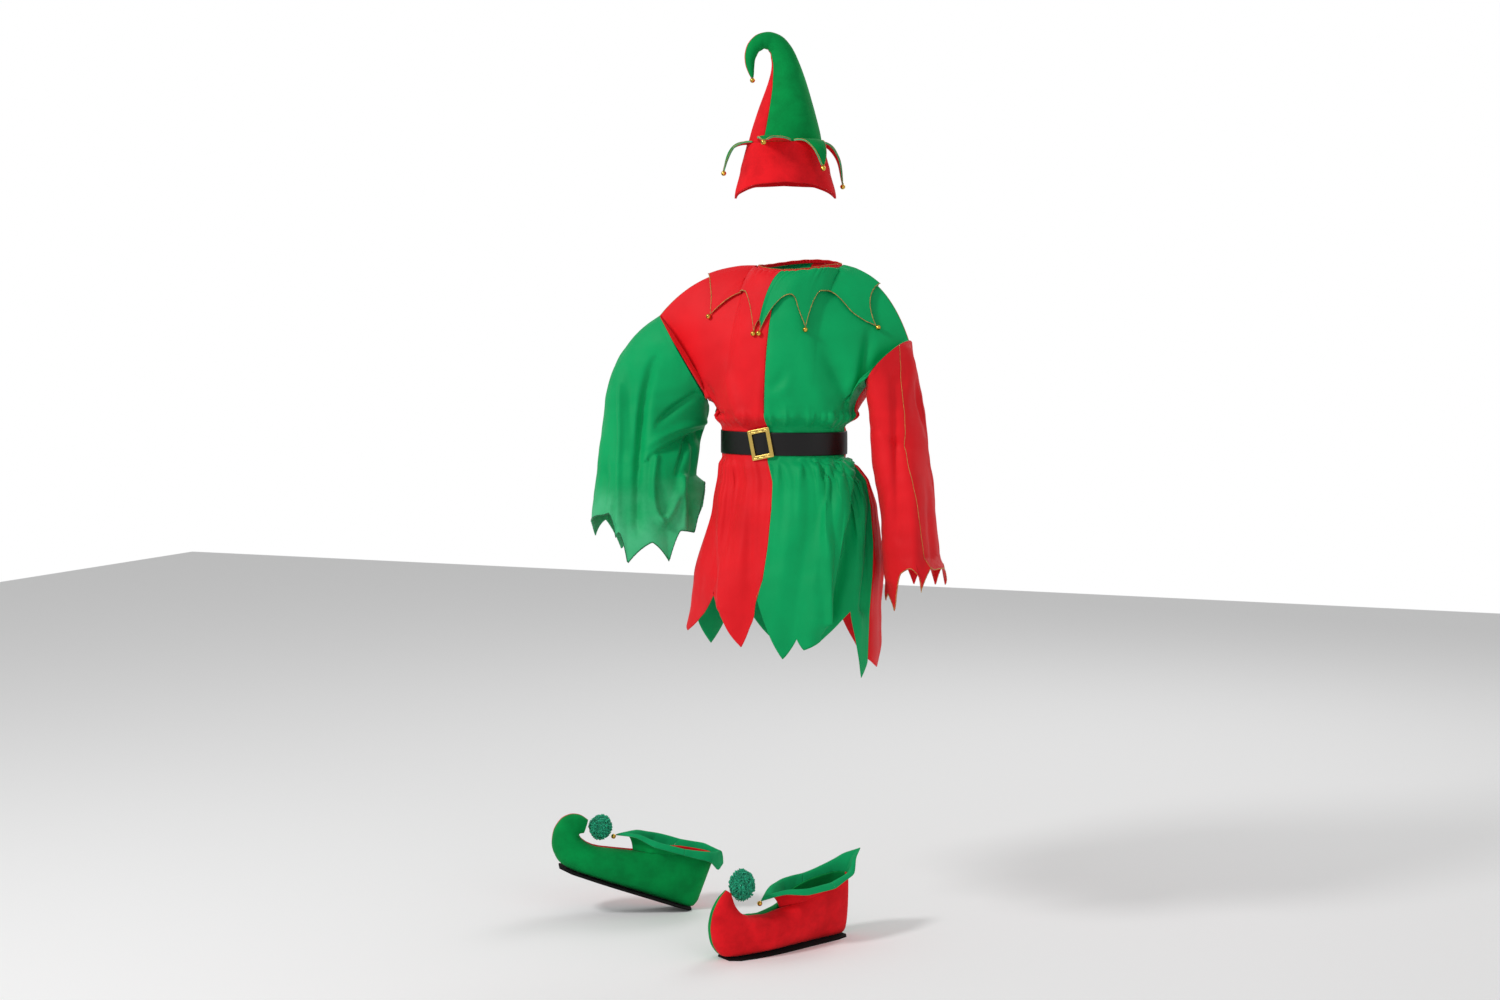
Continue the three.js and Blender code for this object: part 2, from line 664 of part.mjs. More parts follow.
// Belt and buckle
function beltGrid(grow) {
  const waist = BODY[WAIST_ROW];
  return [BELT.high, BELT.low].map((height) =>
    Array.from({ length: 60 }, (_, k) => sectionPoint(waist, k * 6, height, grow)),
  );
}

function belt() {
  const grid = beltGrid(BELT.clear + BELT.thick);
  return wall(grid, gridNormals(grid, true, false), BELT.thick, { closed: true });
}
add("belt", belt(), COLOUR.black, { roughness: 0.3 });

function buckle() {
  const { width, height, bar, thick } = BUCKLE;
  const outline = new THREE.Shape();
  outline.moveTo(-width / 2, -height / 2);
  outline.lineTo(width / 2, -height / 2);
  outline.lineTo(width / 2, height / 2);
  outline.lineTo(-width / 2, height / 2);
  outline.closePath();
  const hole = new THREE.Path();
  hole.moveTo(-width / 2 + bar, -height / 2 + bar);
  hole.lineTo(-width / 2 + bar, height / 2 - bar);
  hole.lineTo(width / 2 - bar, height / 2 - bar);
  hole.lineTo(width / 2 - bar, -height / 2 + bar);
  hole.closePath();
  outline.holes.push(hole);
  const geometry = new THREE.ExtrudeGeometry(outline, { depth: thick, bevelEnabled: false });
  const waist = BODY[WAIST_ROW];
  const middle = (BELT.low + BELT.high) / 2;
  const seat = sectionPoint(waist, BUCKLE.angle, middle, BELT.clear + BELT.thick + 0.35);
  geometry.rotateZ(degToRad(BUCKLE.tilt));
  geometry.rotateX(Math.PI / 2);
  geometry.rotateZ(degToRad(BUCKLE.angle));
  return geometry.translate(seat.x, seat.y, seat.z);
}
add("buckle", buckle(), COLOUR.gold, METAL);

// Hat: a cone whose top curls over, in a red and a green half.
const CONE = [
  { across: -22, height: 1676, radius: 77, lean: 0, seam: 53 },
  { across: -20, height: 1700, radius: 72, lean: 0, seam: 53 },
  { across: -18, height: 1745, radius: 59, lean: 0, seam: 50 },
  { across: -17, height: 1790, radius: 44, lean: 0, seam: 43 },
  { across: -20, height: 1830, radius: 31, lean: 10, seam: 28 },
  { across: -28, height: 1862, radius: 24.5, lean: 25, seam: 15 },
  { across: -40, height: 1882, radius: 20.5, lean: 45, seam: 5 },
  { across: -58, height: 1890, radius: 18, lean: 80, seam: -5 },
  { across: -76, height: 1886, radius: 16.5, lean: 115, seam: -12 },
  { across: -89, height: 1873, radius: 14.5, lean: 145, seam: -18 },
  { across: -95, height: 1856, radius: 12, lean: 168, seam: -20 },
  { across: -95, height: 1838, radius: 9.5, lean: 185, seam: -20 },
  { across: -92, height: 1822, radius: 6, lean: 190, seam: -20 },
  { across: -90, height: 1813, radius: 3, lean: 190, seam: -20 },
];
const CONE_COLUMNS = 20;
const CONE_SEAM = 0.8; // the seam winds round the cone, so it is wider than the others

// Columns start at the front seam, whose angle is counted from the wearer's-right
// edge over the front, and run to the wearer's left.
function coneGrid() {
  return CONE.map((row) => {
    const lean = degToRad(row.lean);
    const sideways = [Math.cos(lean), Math.sin(lean)];
    return Array.from({ length: CONE_COLUMNS }, (_, k) => {
      const a = degToRad(row.seam) + (k / CONE_COLUMNS) * 2 * Math.PI;
      const r = row.radius;
      const out = -r * Math.cos(a);
      return turned(
        row.across + out * sideways[0],
        r * Math.sin(a),
        row.height + out * sideways[1],
      );
    });
  });
}

const cone = coneGrid();
const coneNormals = gridNormals(cone, true, true);
const coneThick = (i) => Math.min(FOAM, CONE[i].radius * 0.55);
const HALF_CONE = CONE_COLUMNS / 2;
for (const [name, from, to, colour] of [
  ["hat_cone_green", 0, HALF_CONE, COLOUR.hatGreen],
  ["hat_cone_red", HALF_CONE, CONE_COLUMNS, COLOUR.red],
])
  add(name, wall(...panel(cone, coneNormals, from, to, CONE_SEAM), coneThick, { flip: true }), colour);

// Brim: a deep turned-up band that flares, with a point at each side.
const BRIM = [
  { height: 1675.6, radius: 79 },
  { height: 1650, radius: 86 },
  { height: 1625, radius: 93 },
];
const BRIM_ACROSS = -22;
const BRIM_EDGE = [
  { angle: 0, height: 1592, radius: 97 },
  { angle: 40, height: 1588, radius: 99 },
  { angle: 70, height: 1574, radius: 103 },
  { angle: 88, height: 1562, radius: 106 },
  { angle: 106, height: 1574, radius: 104 },
  { angle: 140, height: 1592, radius: 100 },
  { angle: 180, height: 1596, radius: 98 },
];
const BRIM_COLUMNS = 36;

function brim() {
  const point = (radius, k, height) => {
    const a = (k / BRIM_COLUMNS) * 2 * Math.PI;
    return turned(BRIM_ACROSS + radius * Math.sin(a), radius * 1.04 * Math.cos(a), height);
  };
  const columns = Array.from({ length: BRIM_COLUMNS }, (_, k) => k);
  const grid = BRIM.map((row) => columns.map((k) => point(row.radius, k, row.height)));
  grid.push(
    columns.map((k) => {
      const angle = (k / BRIM_COLUMNS) * 360;
      const edge = read(BRIM_EDGE, angle > 180 ? 360 - angle : angle);
      return point(edge.radius, k, edge.height);
    }),
  );
  return wall(grid, gridNormals(grid, true, false), FOAM, { closed: true });
}
add("hat_brim", brim(), COLOUR.red);

// Hat petals: leaves that spring from the join of cone and brim.
const HAT_PETALS = [
  { angle: -84, rise: 4, reach: 50, drop: 58, width: 62 },
  { angle: -18, rise: 10, reach: 66, drop: 6, width: 66 },
  { angle: 38, rise: 8, reach: 46, drop: 54, width: 64 },
  { angle: 96, rise: 2, reach: 44, drop: 84, width: 62 },
  { angle: 156, rise: 6, reach: 48, drop: 62, width: 62 },
  { angle: 216, rise: 6, reach: 48, drop: 62, width: 62 },
];
const PETAL_ROOT = { radius: 78.4, height: 1679 };
const PETAL_ROWS = 5;

function hatPetal(petal) {
  const width = [-1, -0.5, 0, 0.5, 1];
  const place = (out, side, height) => {
    const turn = degToRad(petal.angle);
    const bend = Math.sqrt(Math.max(out * out - side * side, 1));
    return turned(
      BRIM_ACROSS + bend * Math.sin(turn) + side * Math.cos(turn),
      (bend * Math.cos(turn) - side * Math.sin(turn)) * 1.03,
      height,
    );
  };
  const path = new THREE.QuadraticBezierCurve(
    new THREE.Vector2(PETAL_ROOT.radius, PETAL_ROOT.height),
    new THREE.Vector2(PETAL_ROOT.radius + petal.reach * 0.8, PETAL_ROOT.height + petal.rise),
    new THREE.Vector2(PETAL_ROOT.radius + petal.reach, PETAL_ROOT.height - petal.drop),
  );
  const grid = steps(PETAL_ROWS).map((t) => {
    const { x, y } = path.getPoint(t);
    const half = (petal.width / 2) * (1 - t) ** 0.75 + 2.2;
    return width.map((w) => place(x, w * half, y));
  });
  const end = path.getPoint(1);
  const along = end.clone().sub(path.getPoint(0.95)).normalize();
  const under = new THREE.Vector2(along.y, -along.x);
  end.addScaledVector(along, BELL_RADIUS + BELL_SEAT).addScaledVector(under, FELT / 2);
  const centre = place(end.x, 0, end.y);
  return { geometry: wall(grid, gridNormals(grid, false, false), FELT), centre };
}
HAT_PETALS.forEach((petal, k) => {
  const { geometry, centre } = hatPetal(petal);
  add(`hat_petal_${k + 1}`, geometry, COLOUR.hatGreen);
  bells.push({ name: `bell_hat_${k + 1}`, centre });
});
bells.push({
  name: "bell_hat_top",
  centre: turned(-89.5, 0, 1813 - BELL_RADIUS - BELL_SEAT),
});

// Shoe cover, in its own frame: +X from the heel to the toe, +Z up, the flat
// sole at the bottom. Each station is a ring from its sole side to its top side.
// Reach is the share of the half ring that is cloth: less than 1 leaves the foot open.
const SHOE = [
  { low: -3, lowZ: 24, top: -4, topZ: 134, half: 0, reach: 0.62 },
  { low: 2, lowZ: 9, top: 1, topZ: 133, half: 15, reach: 0.62 },
  { low: 14, lowZ: 3.4, top: 12, topZ: 131, half: 28, reach: 0.6 },
  { low: 40, lowZ: 3.4, top: 38, topZ: 126, half: 36, reach: 0.6 },
  { low: 75, lowZ: 3.4, top: 72, topZ: 120, half: 39, reach: 0.6 },
  { low: 112, lowZ: 3.4, top: 105, topZ: 110, half: 42, reach: 0.64 },
  { low: 150, lowZ: 3.4, top: 140, topZ: 98, half: 46, reach: 0.8 },
  { low: 188, lowZ: 3.4, top: 172, topZ: 86, half: 49, reach: 1 },
  { low: 228, lowZ: 3.4, top: 212, topZ: 77, half: 50, reach: 1 },
];
const TOES = {
  left: [
    { low: 266, lowZ: 3.4, top: 240, topZ: 80, half: 47, reach: 1 },
    { low: 298, lowZ: 3.4, top: 262, topZ: 82, half: 41, reach: 1 },
    { low: 326, lowZ: 7, top: 280, topZ: 92, half: 34, reach: 1 },
    { low: 345, lowZ: 32, top: 290, topZ: 104, half: 28, reach: 1 },
    { low: 352, lowZ: 67, top: 296, topZ: 115, half: 24, reach: 1 },
    { low: 346, lowZ: 100, top: 299, topZ: 124, half: 19, reach: 1 },
    { low: 330, lowZ: 127, top: 300, topZ: 130, half: 13, reach: 1 },
    { low: 312, lowZ: 143, top: 300, topZ: 134, half: 7, reach: 1 },
  ],
  right: [
    { low: 290, lowZ: 3.4, top: 254, topZ: 68, half: 47, reach: 1 },
    { low: 326, lowZ: 12, top: 276, topZ: 69, half: 42, reach: 1 },
    { low: 350, lowZ: 38, top: 291, topZ: 74, half: 36, reach: 1 },
    { low: 358, lowZ: 74, top: 298, topZ: 79, half: 30, reach: 1 },
    { low: 350, lowZ: 104, top: 300, topZ: 82, half: 26, reach: 1 },
    { low: 333, lowZ: 120, top: 299, topZ: 85, half: 21, reach: 1 },
    { low: 312, lowZ: 125, top: 296, topZ: 86, half: 16, reach: 1 },
    { low: 292, lowZ: 119, top: 291, topZ: 88, half: 10, reach: 1 },
  ],
};
const SHOE_STEPS = 6;
const SOLE_THICK = 3;

function shoeSide(shoe, sign) {
  const grid = shoe.rows.map((row) =>
    steps(SHOE_STEPS).map((e) => {
      const beta = e * row.reach * Math.PI;
      const up = (1 - Math.cos(beta)) / (1 - Math.cos(row.reach * Math.PI));
      const side = row.half * Math.sin(beta) ** 0.75 + SEAM / 2;
      return V(lerp(row.low, row.top, up), sign * side, lerp(row.lowZ, row.topZ, up));
    }),
  );
  const thick = (i) => (shoe.rows[i].reach < 1 ? FELT : Math.min(FELT, shoe.rows[i].half * 0.3));
  const flip = sign > 0;
  const normals = gridNormals(grid, false, flip);
  // The two halves meet square at the heel, the middle of the sole and the toe.
  normals[0].forEach((normal) => normal.setY(0).normalize());
  normals.forEach((line, i) => {
    line[0].setY(0).normalize();
    if (shoe.rows[i].reach === 1) line[SHOE_STEPS].setY(0).normalize();
  });
  return wall(grid, normals, thick, { flip });
}

// Sole: a flat plate under the stations that stand on the ground.
function sole(shoe) {
  const ground = shoe.rows.filter((row) => row.lowZ < 4);
  const inset = 0.86;
  const edge = [
    new THREE.Vector2(6, 12),
    ...ground.map((row) => new THREE.Vector2(row.low, row.half * inset)),
    new THREE.Vector2(318, 20),
  ];
  const outline = [...edge, ...edge.map((p) => new THREE.Vector2(p.x, -p.y)).reverse()];
  const shape = new THREE.Shape(outline);
  return new THREE.ExtrudeGeometry(shape, { depth: SOLE_THICK, bevelEnabled: false });
}

// Rim of the foot opening, from the heel to the throat.
const RIM_SEAT = 0.5; // from the rim to the flap on it
const RIM = SHOE.slice(0, SHOE.findIndex((row) => row.reach === 1) + 1).map((row) => ({
  x: row.top,
  side: row.half * Math.sin(row.reach * Math.PI) ** 0.75 || 0,
  z: row.topZ,
}));

// Flaps round the foot opening, by angle from the toe: a root on the rim, a
// crest where the cloth rolls over, and the free edge.
const FLAP_FRONT = [
  { angle: 0, crest: 192, crestSide: 0, crestZ: 134, edge: 222, edgeSide: 0, edgeZ: 106 },
  { angle: 22, crest: 166, crestSide: 26, crestZ: 146, edge: 184, edgeSide: 31, edgeZ: 121 },
  { angle: 45, crest: 128, crestSide: 46, crestZ: 150, edge: 140, edgeSide: 56, edgeZ: 117 },
  { angle: 90, crest: 72, crestSide: 50, crestZ: 147, edge: 72, edgeSide: 59, edgeZ: 121 },
];
const FLAPS = {
  left: [
    ...FLAP_FRONT,
    { angle: 135, crest: 22, crestSide: 39, crestZ: 157, edge: 12, edgeSide: 49, edgeZ: 141 },
    { angle: 160, crest: 0, crestSide: 18, crestZ: 164, edge: -14, edgeSide: 22, edgeZ: 170 },
    { angle: 180, crest: -14, crestSide: 0, crestZ: 172, edge: -42, edgeSide: 0, edgeZ: 182 },
  ],
  right: [
    ...FLAP_FRONT,
    { angle: 135, crest: 24, crestSide: 42, crestZ: 158, edge: 8, edgeSide: 52, edgeZ: 124 },
    { angle: 160, crest: 2, crestSide: 22, crestZ: 164, edge: -18, edgeSide: 28, edgeZ: 106 },
    { angle: 180, crest: -14, crestSide: 0, crestZ: 164, edge: -30, edgeSide: 0, edgeZ: 120 },
  ],
};
const FLAP_ROWS = 4;
const FLAP_COLUMNS = 16;

function flap(shoe, from, to) {
  const angles = steps(FLAP_COLUMNS).map((t) => lerp(from, to, t));
  const root = (a) => {
    const x = lerp(RIM[0].x, RIM[RIM.length - 1].x, (1 + Math.cos(degToRad(a))) / 2);
    const { side, z } = read(RIM, x);
    return V(x, Math.sign(a) * side, z + RIM_SEAT);
  };
  const grid = steps(FLAP_ROWS).map((t) =>
    angles.map((a) => {
      const wrapped = a > 180 ? a - 360 : a;
      const row = read(shoe.flap, Math.abs(wrapped));
      const sign = Math.sign(wrapped) || 1;
      const start = root(wrapped);
      const end = V(row.edge, sign * row.edgeSide, row.edgeZ);
      const crest = V(row.crest, sign * row.crestSide, row.crestZ);
      return new THREE.QuadraticBezierCurve3(start, crest, end).getPoint(t);
    }),
  );
  return wall(grid, gridNormals(grid, false, true), FELT * 0.8, { flip: true });
}

// Pompom: a ball whose every face is drawn out into a lock.
function pompom({ pompom: centre, stretch }) {
  const core = 20.5;
  const base = new THREE.IcosahedronGeometry(core, 1);
  const from = base.attributes.position;
  const position = [];
  for (let f = 0; f < from.count; f += 3) {
    const corner = [0, 1, 2].map((k) => V().fromBufferAttribute(from, f + k));
    const tip = corner[0].clone().add(corner[1]).add(corner[2]).normalize();
    tip.multiplyScalar(core + 5 + 3 * ((f / 3) % 3));
    for (let k = 0; k < 3; k++)
      for (const p of [corner[k], corner[(k + 1) % 3], tip])
        position.push(p.x * stretch.x + centre.x, p.y * stretch.y + centre.y, p.z * stretch.z + centre.z);
  }
  const geometry = new THREE.BufferGeometry();
  geometry.setAttribute("position", new THREE.Float32BufferAttribute(position, 3));
  return mergeVertices(geometry, 1e-3);
}

function bell(centre) {
  const ball = new THREE.SphereGeometry(BELL_RADIUS, 7, 5);
  ball.deleteAttribute("normal");
  ball.deleteAttribute("uv");
  return mergeVertices(ball, 1e-3).translate(centre.x, centre.y, centre.z);
}

const SHOES = [
  {
    name: "left",
    heel: turned(108, -10, 0),
    heading: 36,
    pitch: 0,
    near: COLOUR.red,
    far: COLOUR.hatGreen,
    rows: [...SHOE, ...TOES.left],
    flap: FLAPS.left,
    pompom: V(271, 0, 148),
    stretch: V(0.9, 0.92, 1.12),
  },
  {
    name: "right",
    heel: turned(-222, -205, -2),
    heading: 8,
    pitch: -20,
    near: COLOUR.hatGreen,
    far: COLOUR.red,
    rows: [...SHOE, ...TOES.right],
    flap: FLAPS.right,
    pompom: V(260, 0, 112),
    stretch: V(0.88, 0.92, 0.95),
  },
];
const SHOE_BELL_PLACE = V(225.6, 0, 101.3);

for (const shoe of SHOES) {
  const group = new THREE.Group();
  group.position.copy(shoe.heel);
  // The toe points across to the wearer's right, a little to the front.
  const toe = Math.PI + TURN + degToRad(shoe.heading);
  group.rotation.set(0, degToRad(shoe.pitch), toe, "ZYX");
  costume.add(group);
  add(`shoe_${shoe.name}_near`, shoeSide(shoe, 1), shoe.near, {}, group);
  add(`shoe_${shoe.name}_far`, shoeSide(shoe, -1), shoe.far, {}, group);
  add(`shoe_${shoe.name}_sole`, sole(shoe), COLOUR.black, {}, group);
  add(`shoe_${shoe.name}_flap_front`, flap(shoe, -89, 89), COLOUR.hatGreen, {}, group);
  add(`shoe_${shoe.name}_flap_back`, flap(shoe, 91, 269), COLOUR.hatGreen, {}, group);
  add(`shoe_${shoe.name}_pompom`, pompom(shoe), COLOUR.pompom, {}, group);
  add(`shoe_${shoe.name}_bell`, bell(SHOE_BELL_PLACE), COLOUR.gold, METAL, group);
}

for (const { name, centre } of bells) add(name, bell(centre), COLOUR.gold, METAL);

costume.position.z = -NECK_HEIGHT;
export default costume;
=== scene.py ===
"""Looks of an elf costume: thin cloth shells, thread, bells and pompoms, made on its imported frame."""

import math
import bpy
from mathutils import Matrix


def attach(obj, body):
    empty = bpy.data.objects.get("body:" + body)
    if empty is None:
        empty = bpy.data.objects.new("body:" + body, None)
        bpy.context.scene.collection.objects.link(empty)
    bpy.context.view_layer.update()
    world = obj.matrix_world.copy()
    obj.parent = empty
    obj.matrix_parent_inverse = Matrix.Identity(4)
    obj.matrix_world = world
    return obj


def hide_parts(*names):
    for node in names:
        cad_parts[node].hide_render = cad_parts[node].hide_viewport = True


bl_info = {
    "name": "Elf costume",
    "version": (1, 0, 0),
    "blender": (4, 5, 0),
    "location": "View3D > Sidebar > Costume",
    "description": "Cloth, felt, thread, bells and pompoms of an elf costume",
    "category": "Object",
}

import bpy
import numpy as np
from mathutils import Vector

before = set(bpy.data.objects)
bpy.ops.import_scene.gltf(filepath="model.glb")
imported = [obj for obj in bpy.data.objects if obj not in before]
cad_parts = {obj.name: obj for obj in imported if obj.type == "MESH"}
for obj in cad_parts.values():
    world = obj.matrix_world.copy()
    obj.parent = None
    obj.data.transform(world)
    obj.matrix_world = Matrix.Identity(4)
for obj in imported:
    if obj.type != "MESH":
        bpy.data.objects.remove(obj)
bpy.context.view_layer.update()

# Sizes in the tables are in millimetres and heights are above the floor.
# The neck opening, 1420 above the floor, is the frame's origin.
MM = 0.001
NECK_HEIGHT = 1420
TURN = math.radians(22)  # the camera, head, arms and feet are set out in a frame turned by this
SEAM = 0.4  # gap between two cloth pieces at their seam
READ_TAPS, READ_FADE = 7, 0.8  # samples of a softened reading, and how much less the outer ones count
CREASE_STEPS = 10  # straight pieces in a crease's curve


def table(names, *rows):
    """Rows of numbers as named columns."""
    return dict(zip(names.split(), np.array(rows, float).T))


def read(rows, name, x, soft=0.0):
    """A column's value at x of the first column: straight between rows, averaged over soft each way."""
    keys = next(iter(rows.values()))
    order = np.argsort(keys)
    x = np.asarray(x, float)
    taps = np.linspace(-1, 1, READ_TAPS)
    weights = 1 - READ_FADE * np.abs(taps)
    values = [w * np.interp(x + t * soft, keys[order], rows[name][order]) for t, w in zip(taps, weights)]
    return sum(values) / weights.sum()


def smoothstep(x, low, high):
    """Rises from 0 at low to 1 at high as 3t^2 - 2t^3."""
    t = np.clip((x - low) / (high - low), 0, 1)
    return t * t * (3 - 2 * t)


def mix(a, b, t):
    """Straight blend from a to b."""
    return a + (b - a) * t


def turned(across, forward, height):
    """A point given across, forward and up in the turned frame: its first two parts turned about +Z."""
    x = across * math.cos(TURN) + forward * math.sin(TURN)
    y = across * math.sin(TURN) - forward * math.cos(TURN)
    return np.stack(np.broadcast_arrays(x, y, height), -1).astype(float)


def across_of(points):
    """How far across the turned frame points lie, as the camera sees it."""
    return points[..., 0] * math.cos(TURN) + points[..., 1] * math.sin(TURN)


def unit(vectors):
    """Vectors at length 1."""
    return vectors / np.maximum(np.linalg.norm(vectors, axis=-1, keepdims=True), 1e-9)


def bezier(a, b, c, t):
    """Quadratic curve from a to c, drawn towards b."""
    t = np.asarray(t)[..., None]
    return (1 - t) ** 2 * a + 2 * t * (1 - t) * b + t * t * c


def grid_normals(grid, closed=False):
    """Cross product of a grid's two directions, each the difference of a point's neighbours."""
    down = np.gradient(grid, axis=0)
    if closed:
        along = np.roll(grid, -1, 1) - np.roll(grid, 1, 1)
    else:
        along = np.gradient(grid, axis=1)
    return unit(np.cross(down, along))


def facing(normals, away):
    """Normals turned over as a whole where they don't look the way of away."""
    return normals if (normals * away).sum() > 0 else -normals


def creases(across, height, rows):
    """Soft ridges and troughs: each follows a curve through three points. Across the curve its depth
    falls off like a bell, with a width of its own on each side; along it the depth runs from a
    start share through 1 in the middle to an end share."""
    total = np.zeros(np.shape(across))
    for a0, h0, a1, h1, a2, h2, left, right, depth, start, end in rows:
        first, middle, last = np.array([a0, h0]), np.array([a1, h1]), np.array([a2, h2])
        t = np.linspace(0, 1, CREASE_STEPS + 1)
        curve = bezier(first, 2 * middle - (first + last) / 2, last, t)
        nearest = np.full(total.shape, np.inf)
        side = np.zeros(total.shape)
        along = np.zeros(total.shape)
        for k in range(CREASE_STEPS):
            step = curve[k + 1] - curve[k]
            s = ((across - curve[k, 0]) * step[0] + (height - curve[k, 1]) * step[1]) / (step @ step)
            s = np.clip(s, 0, 1)
            off_across = across - curve[k, 0] - s * step[0]
            off_height = height - curve[k, 1] - s * step[1]
            apart = off_across**2 + off_height**2
            closer = apart < nearest
            nearest = np.where(closer, apart, nearest)
            side = np.where(closer, step[0] * off_height - step[1] * off_across, side)
            along = np.where(closer, (k + s) / CREASE_STEPS, along)
        width = np.where(side > 0, right, left)
        total += depth * np.exp(-nearest / width**2) * np.interp(along, [0, 0.5, 1], [start, 1, end])
    return total


def waves(x, y, sizes):
    """Slow uneven swell of cloth: sines of different lengths and directions, each given as its
    length, height and turn."""
    total = 0
    for k, (length, height, turn) in enumerate(sizes):
        a = math.radians(turn)
        phase = (x * math.cos(a) + y * math.sin(a)) * 2 * math.pi / length
        total = total + height * np.sin(phase + 1.7 * k + 0.8 * np.sin(phase * 0.37 + k))
    return total


def part_seams(grid):
    """Moves a grid's first and last columns in by half the gap of a seam."""
    grid[:, 0] += unit(grid[:, 1] - grid[:, 0]) * SEAM / 2
    grid[:, -1] += unit(grid[:, -2] - grid[:, -1]) * SEAM / 2


def from_edges(count, spacing):
    """Distance of each of a grid's columns from the nearer of its two sides."""
    k = np.arange(count)
    return np.minimum(k, k[::-1]) * spacing


def band_grid(top, low, rows, columns):
    """Heights down a closed band and the share of the way round it, as grids."""
    down, k = np.meshgrid(np.linspace(top, low, rows), np.arange(columns), indexing="ij")
    return down, k / columns


# Meshes

def make_mesh(name, points, faces, uv=None, slots=None, attribute=None, smooth=True):
    """A mesh object from whole arrays: points in mm above the floor, faces of 3 or 4 corners."""
    corners = faces.shape[1]
    a, b, c = (points[faces[:, k]] for k in (0, 1, 2))
    centre = points.mean(0)
    volume = ((a - centre) * np.cross(b - centre, c - centre)).sum()
    if corners == 4:
        d = points[faces[:, 3]]
        volume += ((a - centre) * np.cross(c - centre, d - centre)).sum()
    if volume < 0:
        faces = faces[:, ::-1]
        uv = None if uv is None else uv[:, ::-1]
    mesh = bpy.data.meshes.new(name)
    placed = (points - [0, 0, NECK_HEIGHT]) * MM
    mesh.vertices.add(len(points))
    mesh.vertices.foreach_set("co", placed.astype(np.float32).ravel())
    mesh.loops.add(faces.size)
    mesh.loops.foreach_set("vertex_index", faces.astype(np.int32).ravel())
    mesh.polygons.add(len(faces))
    mesh.polygons.foreach_set("loop_start", np.arange(0, faces.size, corners, dtype=np.int32))
    if slots is not None:
        mesh.polygons.foreach_set("material_index", slots.astype(np.int32))
    mesh.polygons.foreach_set("use_smooth", np.full(len(faces), smooth))
    mesh.update(calc_edges=True)
    if uv is not None:
        layer = mesh.uv_layers.new(name="cloth")
        layer.data.foreach_set("uv", (uv * MM).astype(np.float32).ravel())
    # The point attribute holds painted backlight: how much paler thin hems are painted, as if lit through
    # from behind.
    if attribute is not None:
        layer = mesh.attributes.new("painted_backlight", "FLOAT", "POINT")
        layer.data.foreach_set("value", attribute.astype(np.float32).ravel())
    piece = bpy.data.objects.new(name, mesh)
    bpy.context.scene.collection.objects.link(piece)
    return piece


def quads_of(rows, columns, closed):
    """Corner numbers of a grid's faces, row by row; a closed grid joins its last column to its first."""
    i, j = np.meshgrid(np.arange(rows - 1), np.arange(columns if closed else columns - 1), indexing="ij")
    after = (j + 1) % columns
    upper, lower = i * columns, (i + 1) * columns
    quads = np.stack([upper + j, lower + j, lower + after, upper + after], -1)
    return quads.reshape(-1, 4), np.stack([i, j], -1).reshape(-1, 2)


def shell(name, grid, normals, thickness, closed=False, painted_backlight=None):
    """A thin closed shell: the grid is its outer face, a copy one thickness along the normals inwards
    is its inner face, and narrow rims join them. UV is the mean length along rows and columns.
    Faces take slot 0 outside, 1 inside and 2 on the rims. painted_backlight is the share of painted backlight
    at each point of the grid."""
    rows, columns = grid.shape[:2]
    thick = np.broadcast_to(np.asarray(thickness, float), (rows, columns))[..., None]
    inner = grid - normals * thick
    points = np.concatenate([grid.reshape(-1, 3), inner.reshape(-1, 3)])
    count = rows * columns
    outside, where = quads_of(rows, columns, closed)
    inside = outside[:, ::-1] + count
    j = np.arange(columns if closed else columns - 1)
    after = (j + 1) % columns
    low = (rows - 1) * columns
    rims = [
        [after, count + after, count + j, j],
        [low + j, low + count + j, low + count + after, low + after]]
    if not closed:
        near = np.arange(rows - 1) * columns
        far = near + columns - 1
        rims.append([near, count + near, count + near + columns, near + columns])
        rims.append([far + columns, count + far + columns, count + far, far])
    rim = np.concatenate([np.stack(corners, -1) for corners in rims])
    faces = np.concatenate([outside, inside, rim])
    slots = np.repeat([0, 1, 2], [len(outside), len(inside), len(rim)])
    lengths = np.diff(grid, axis=1, append=grid[:, :1] if closed else grid[:, -1:])
    u = np.concatenate([[0], np.cumsum(np.linalg.norm(lengths, axis=-1).mean(0))])
    v = np.concatenate([[0], np.cumsum(np.linalg.norm(np.diff(grid, axis=0), axis=-1).mean(1))])
    i, j = where.T
    face_uv = np.stack([np.stack([u[j + a], v[i + b]], -1) for a, b in ((0, 0), (0, 1), (1, 1), (1, 0))], 1)
    rim_row, rim_column = np.divmod(rim % count, columns)
    rim_uv = np.stack([u[rim_column], v[rim_row]], -1)
    uv = np.concatenate([face_uv, face_uv[:, ::-1], rim_uv])
    return make_mesh(name, points, faces, uv, slots, None if painted_backlight is None else np.tile(painted_backlight.ravel(), 2))


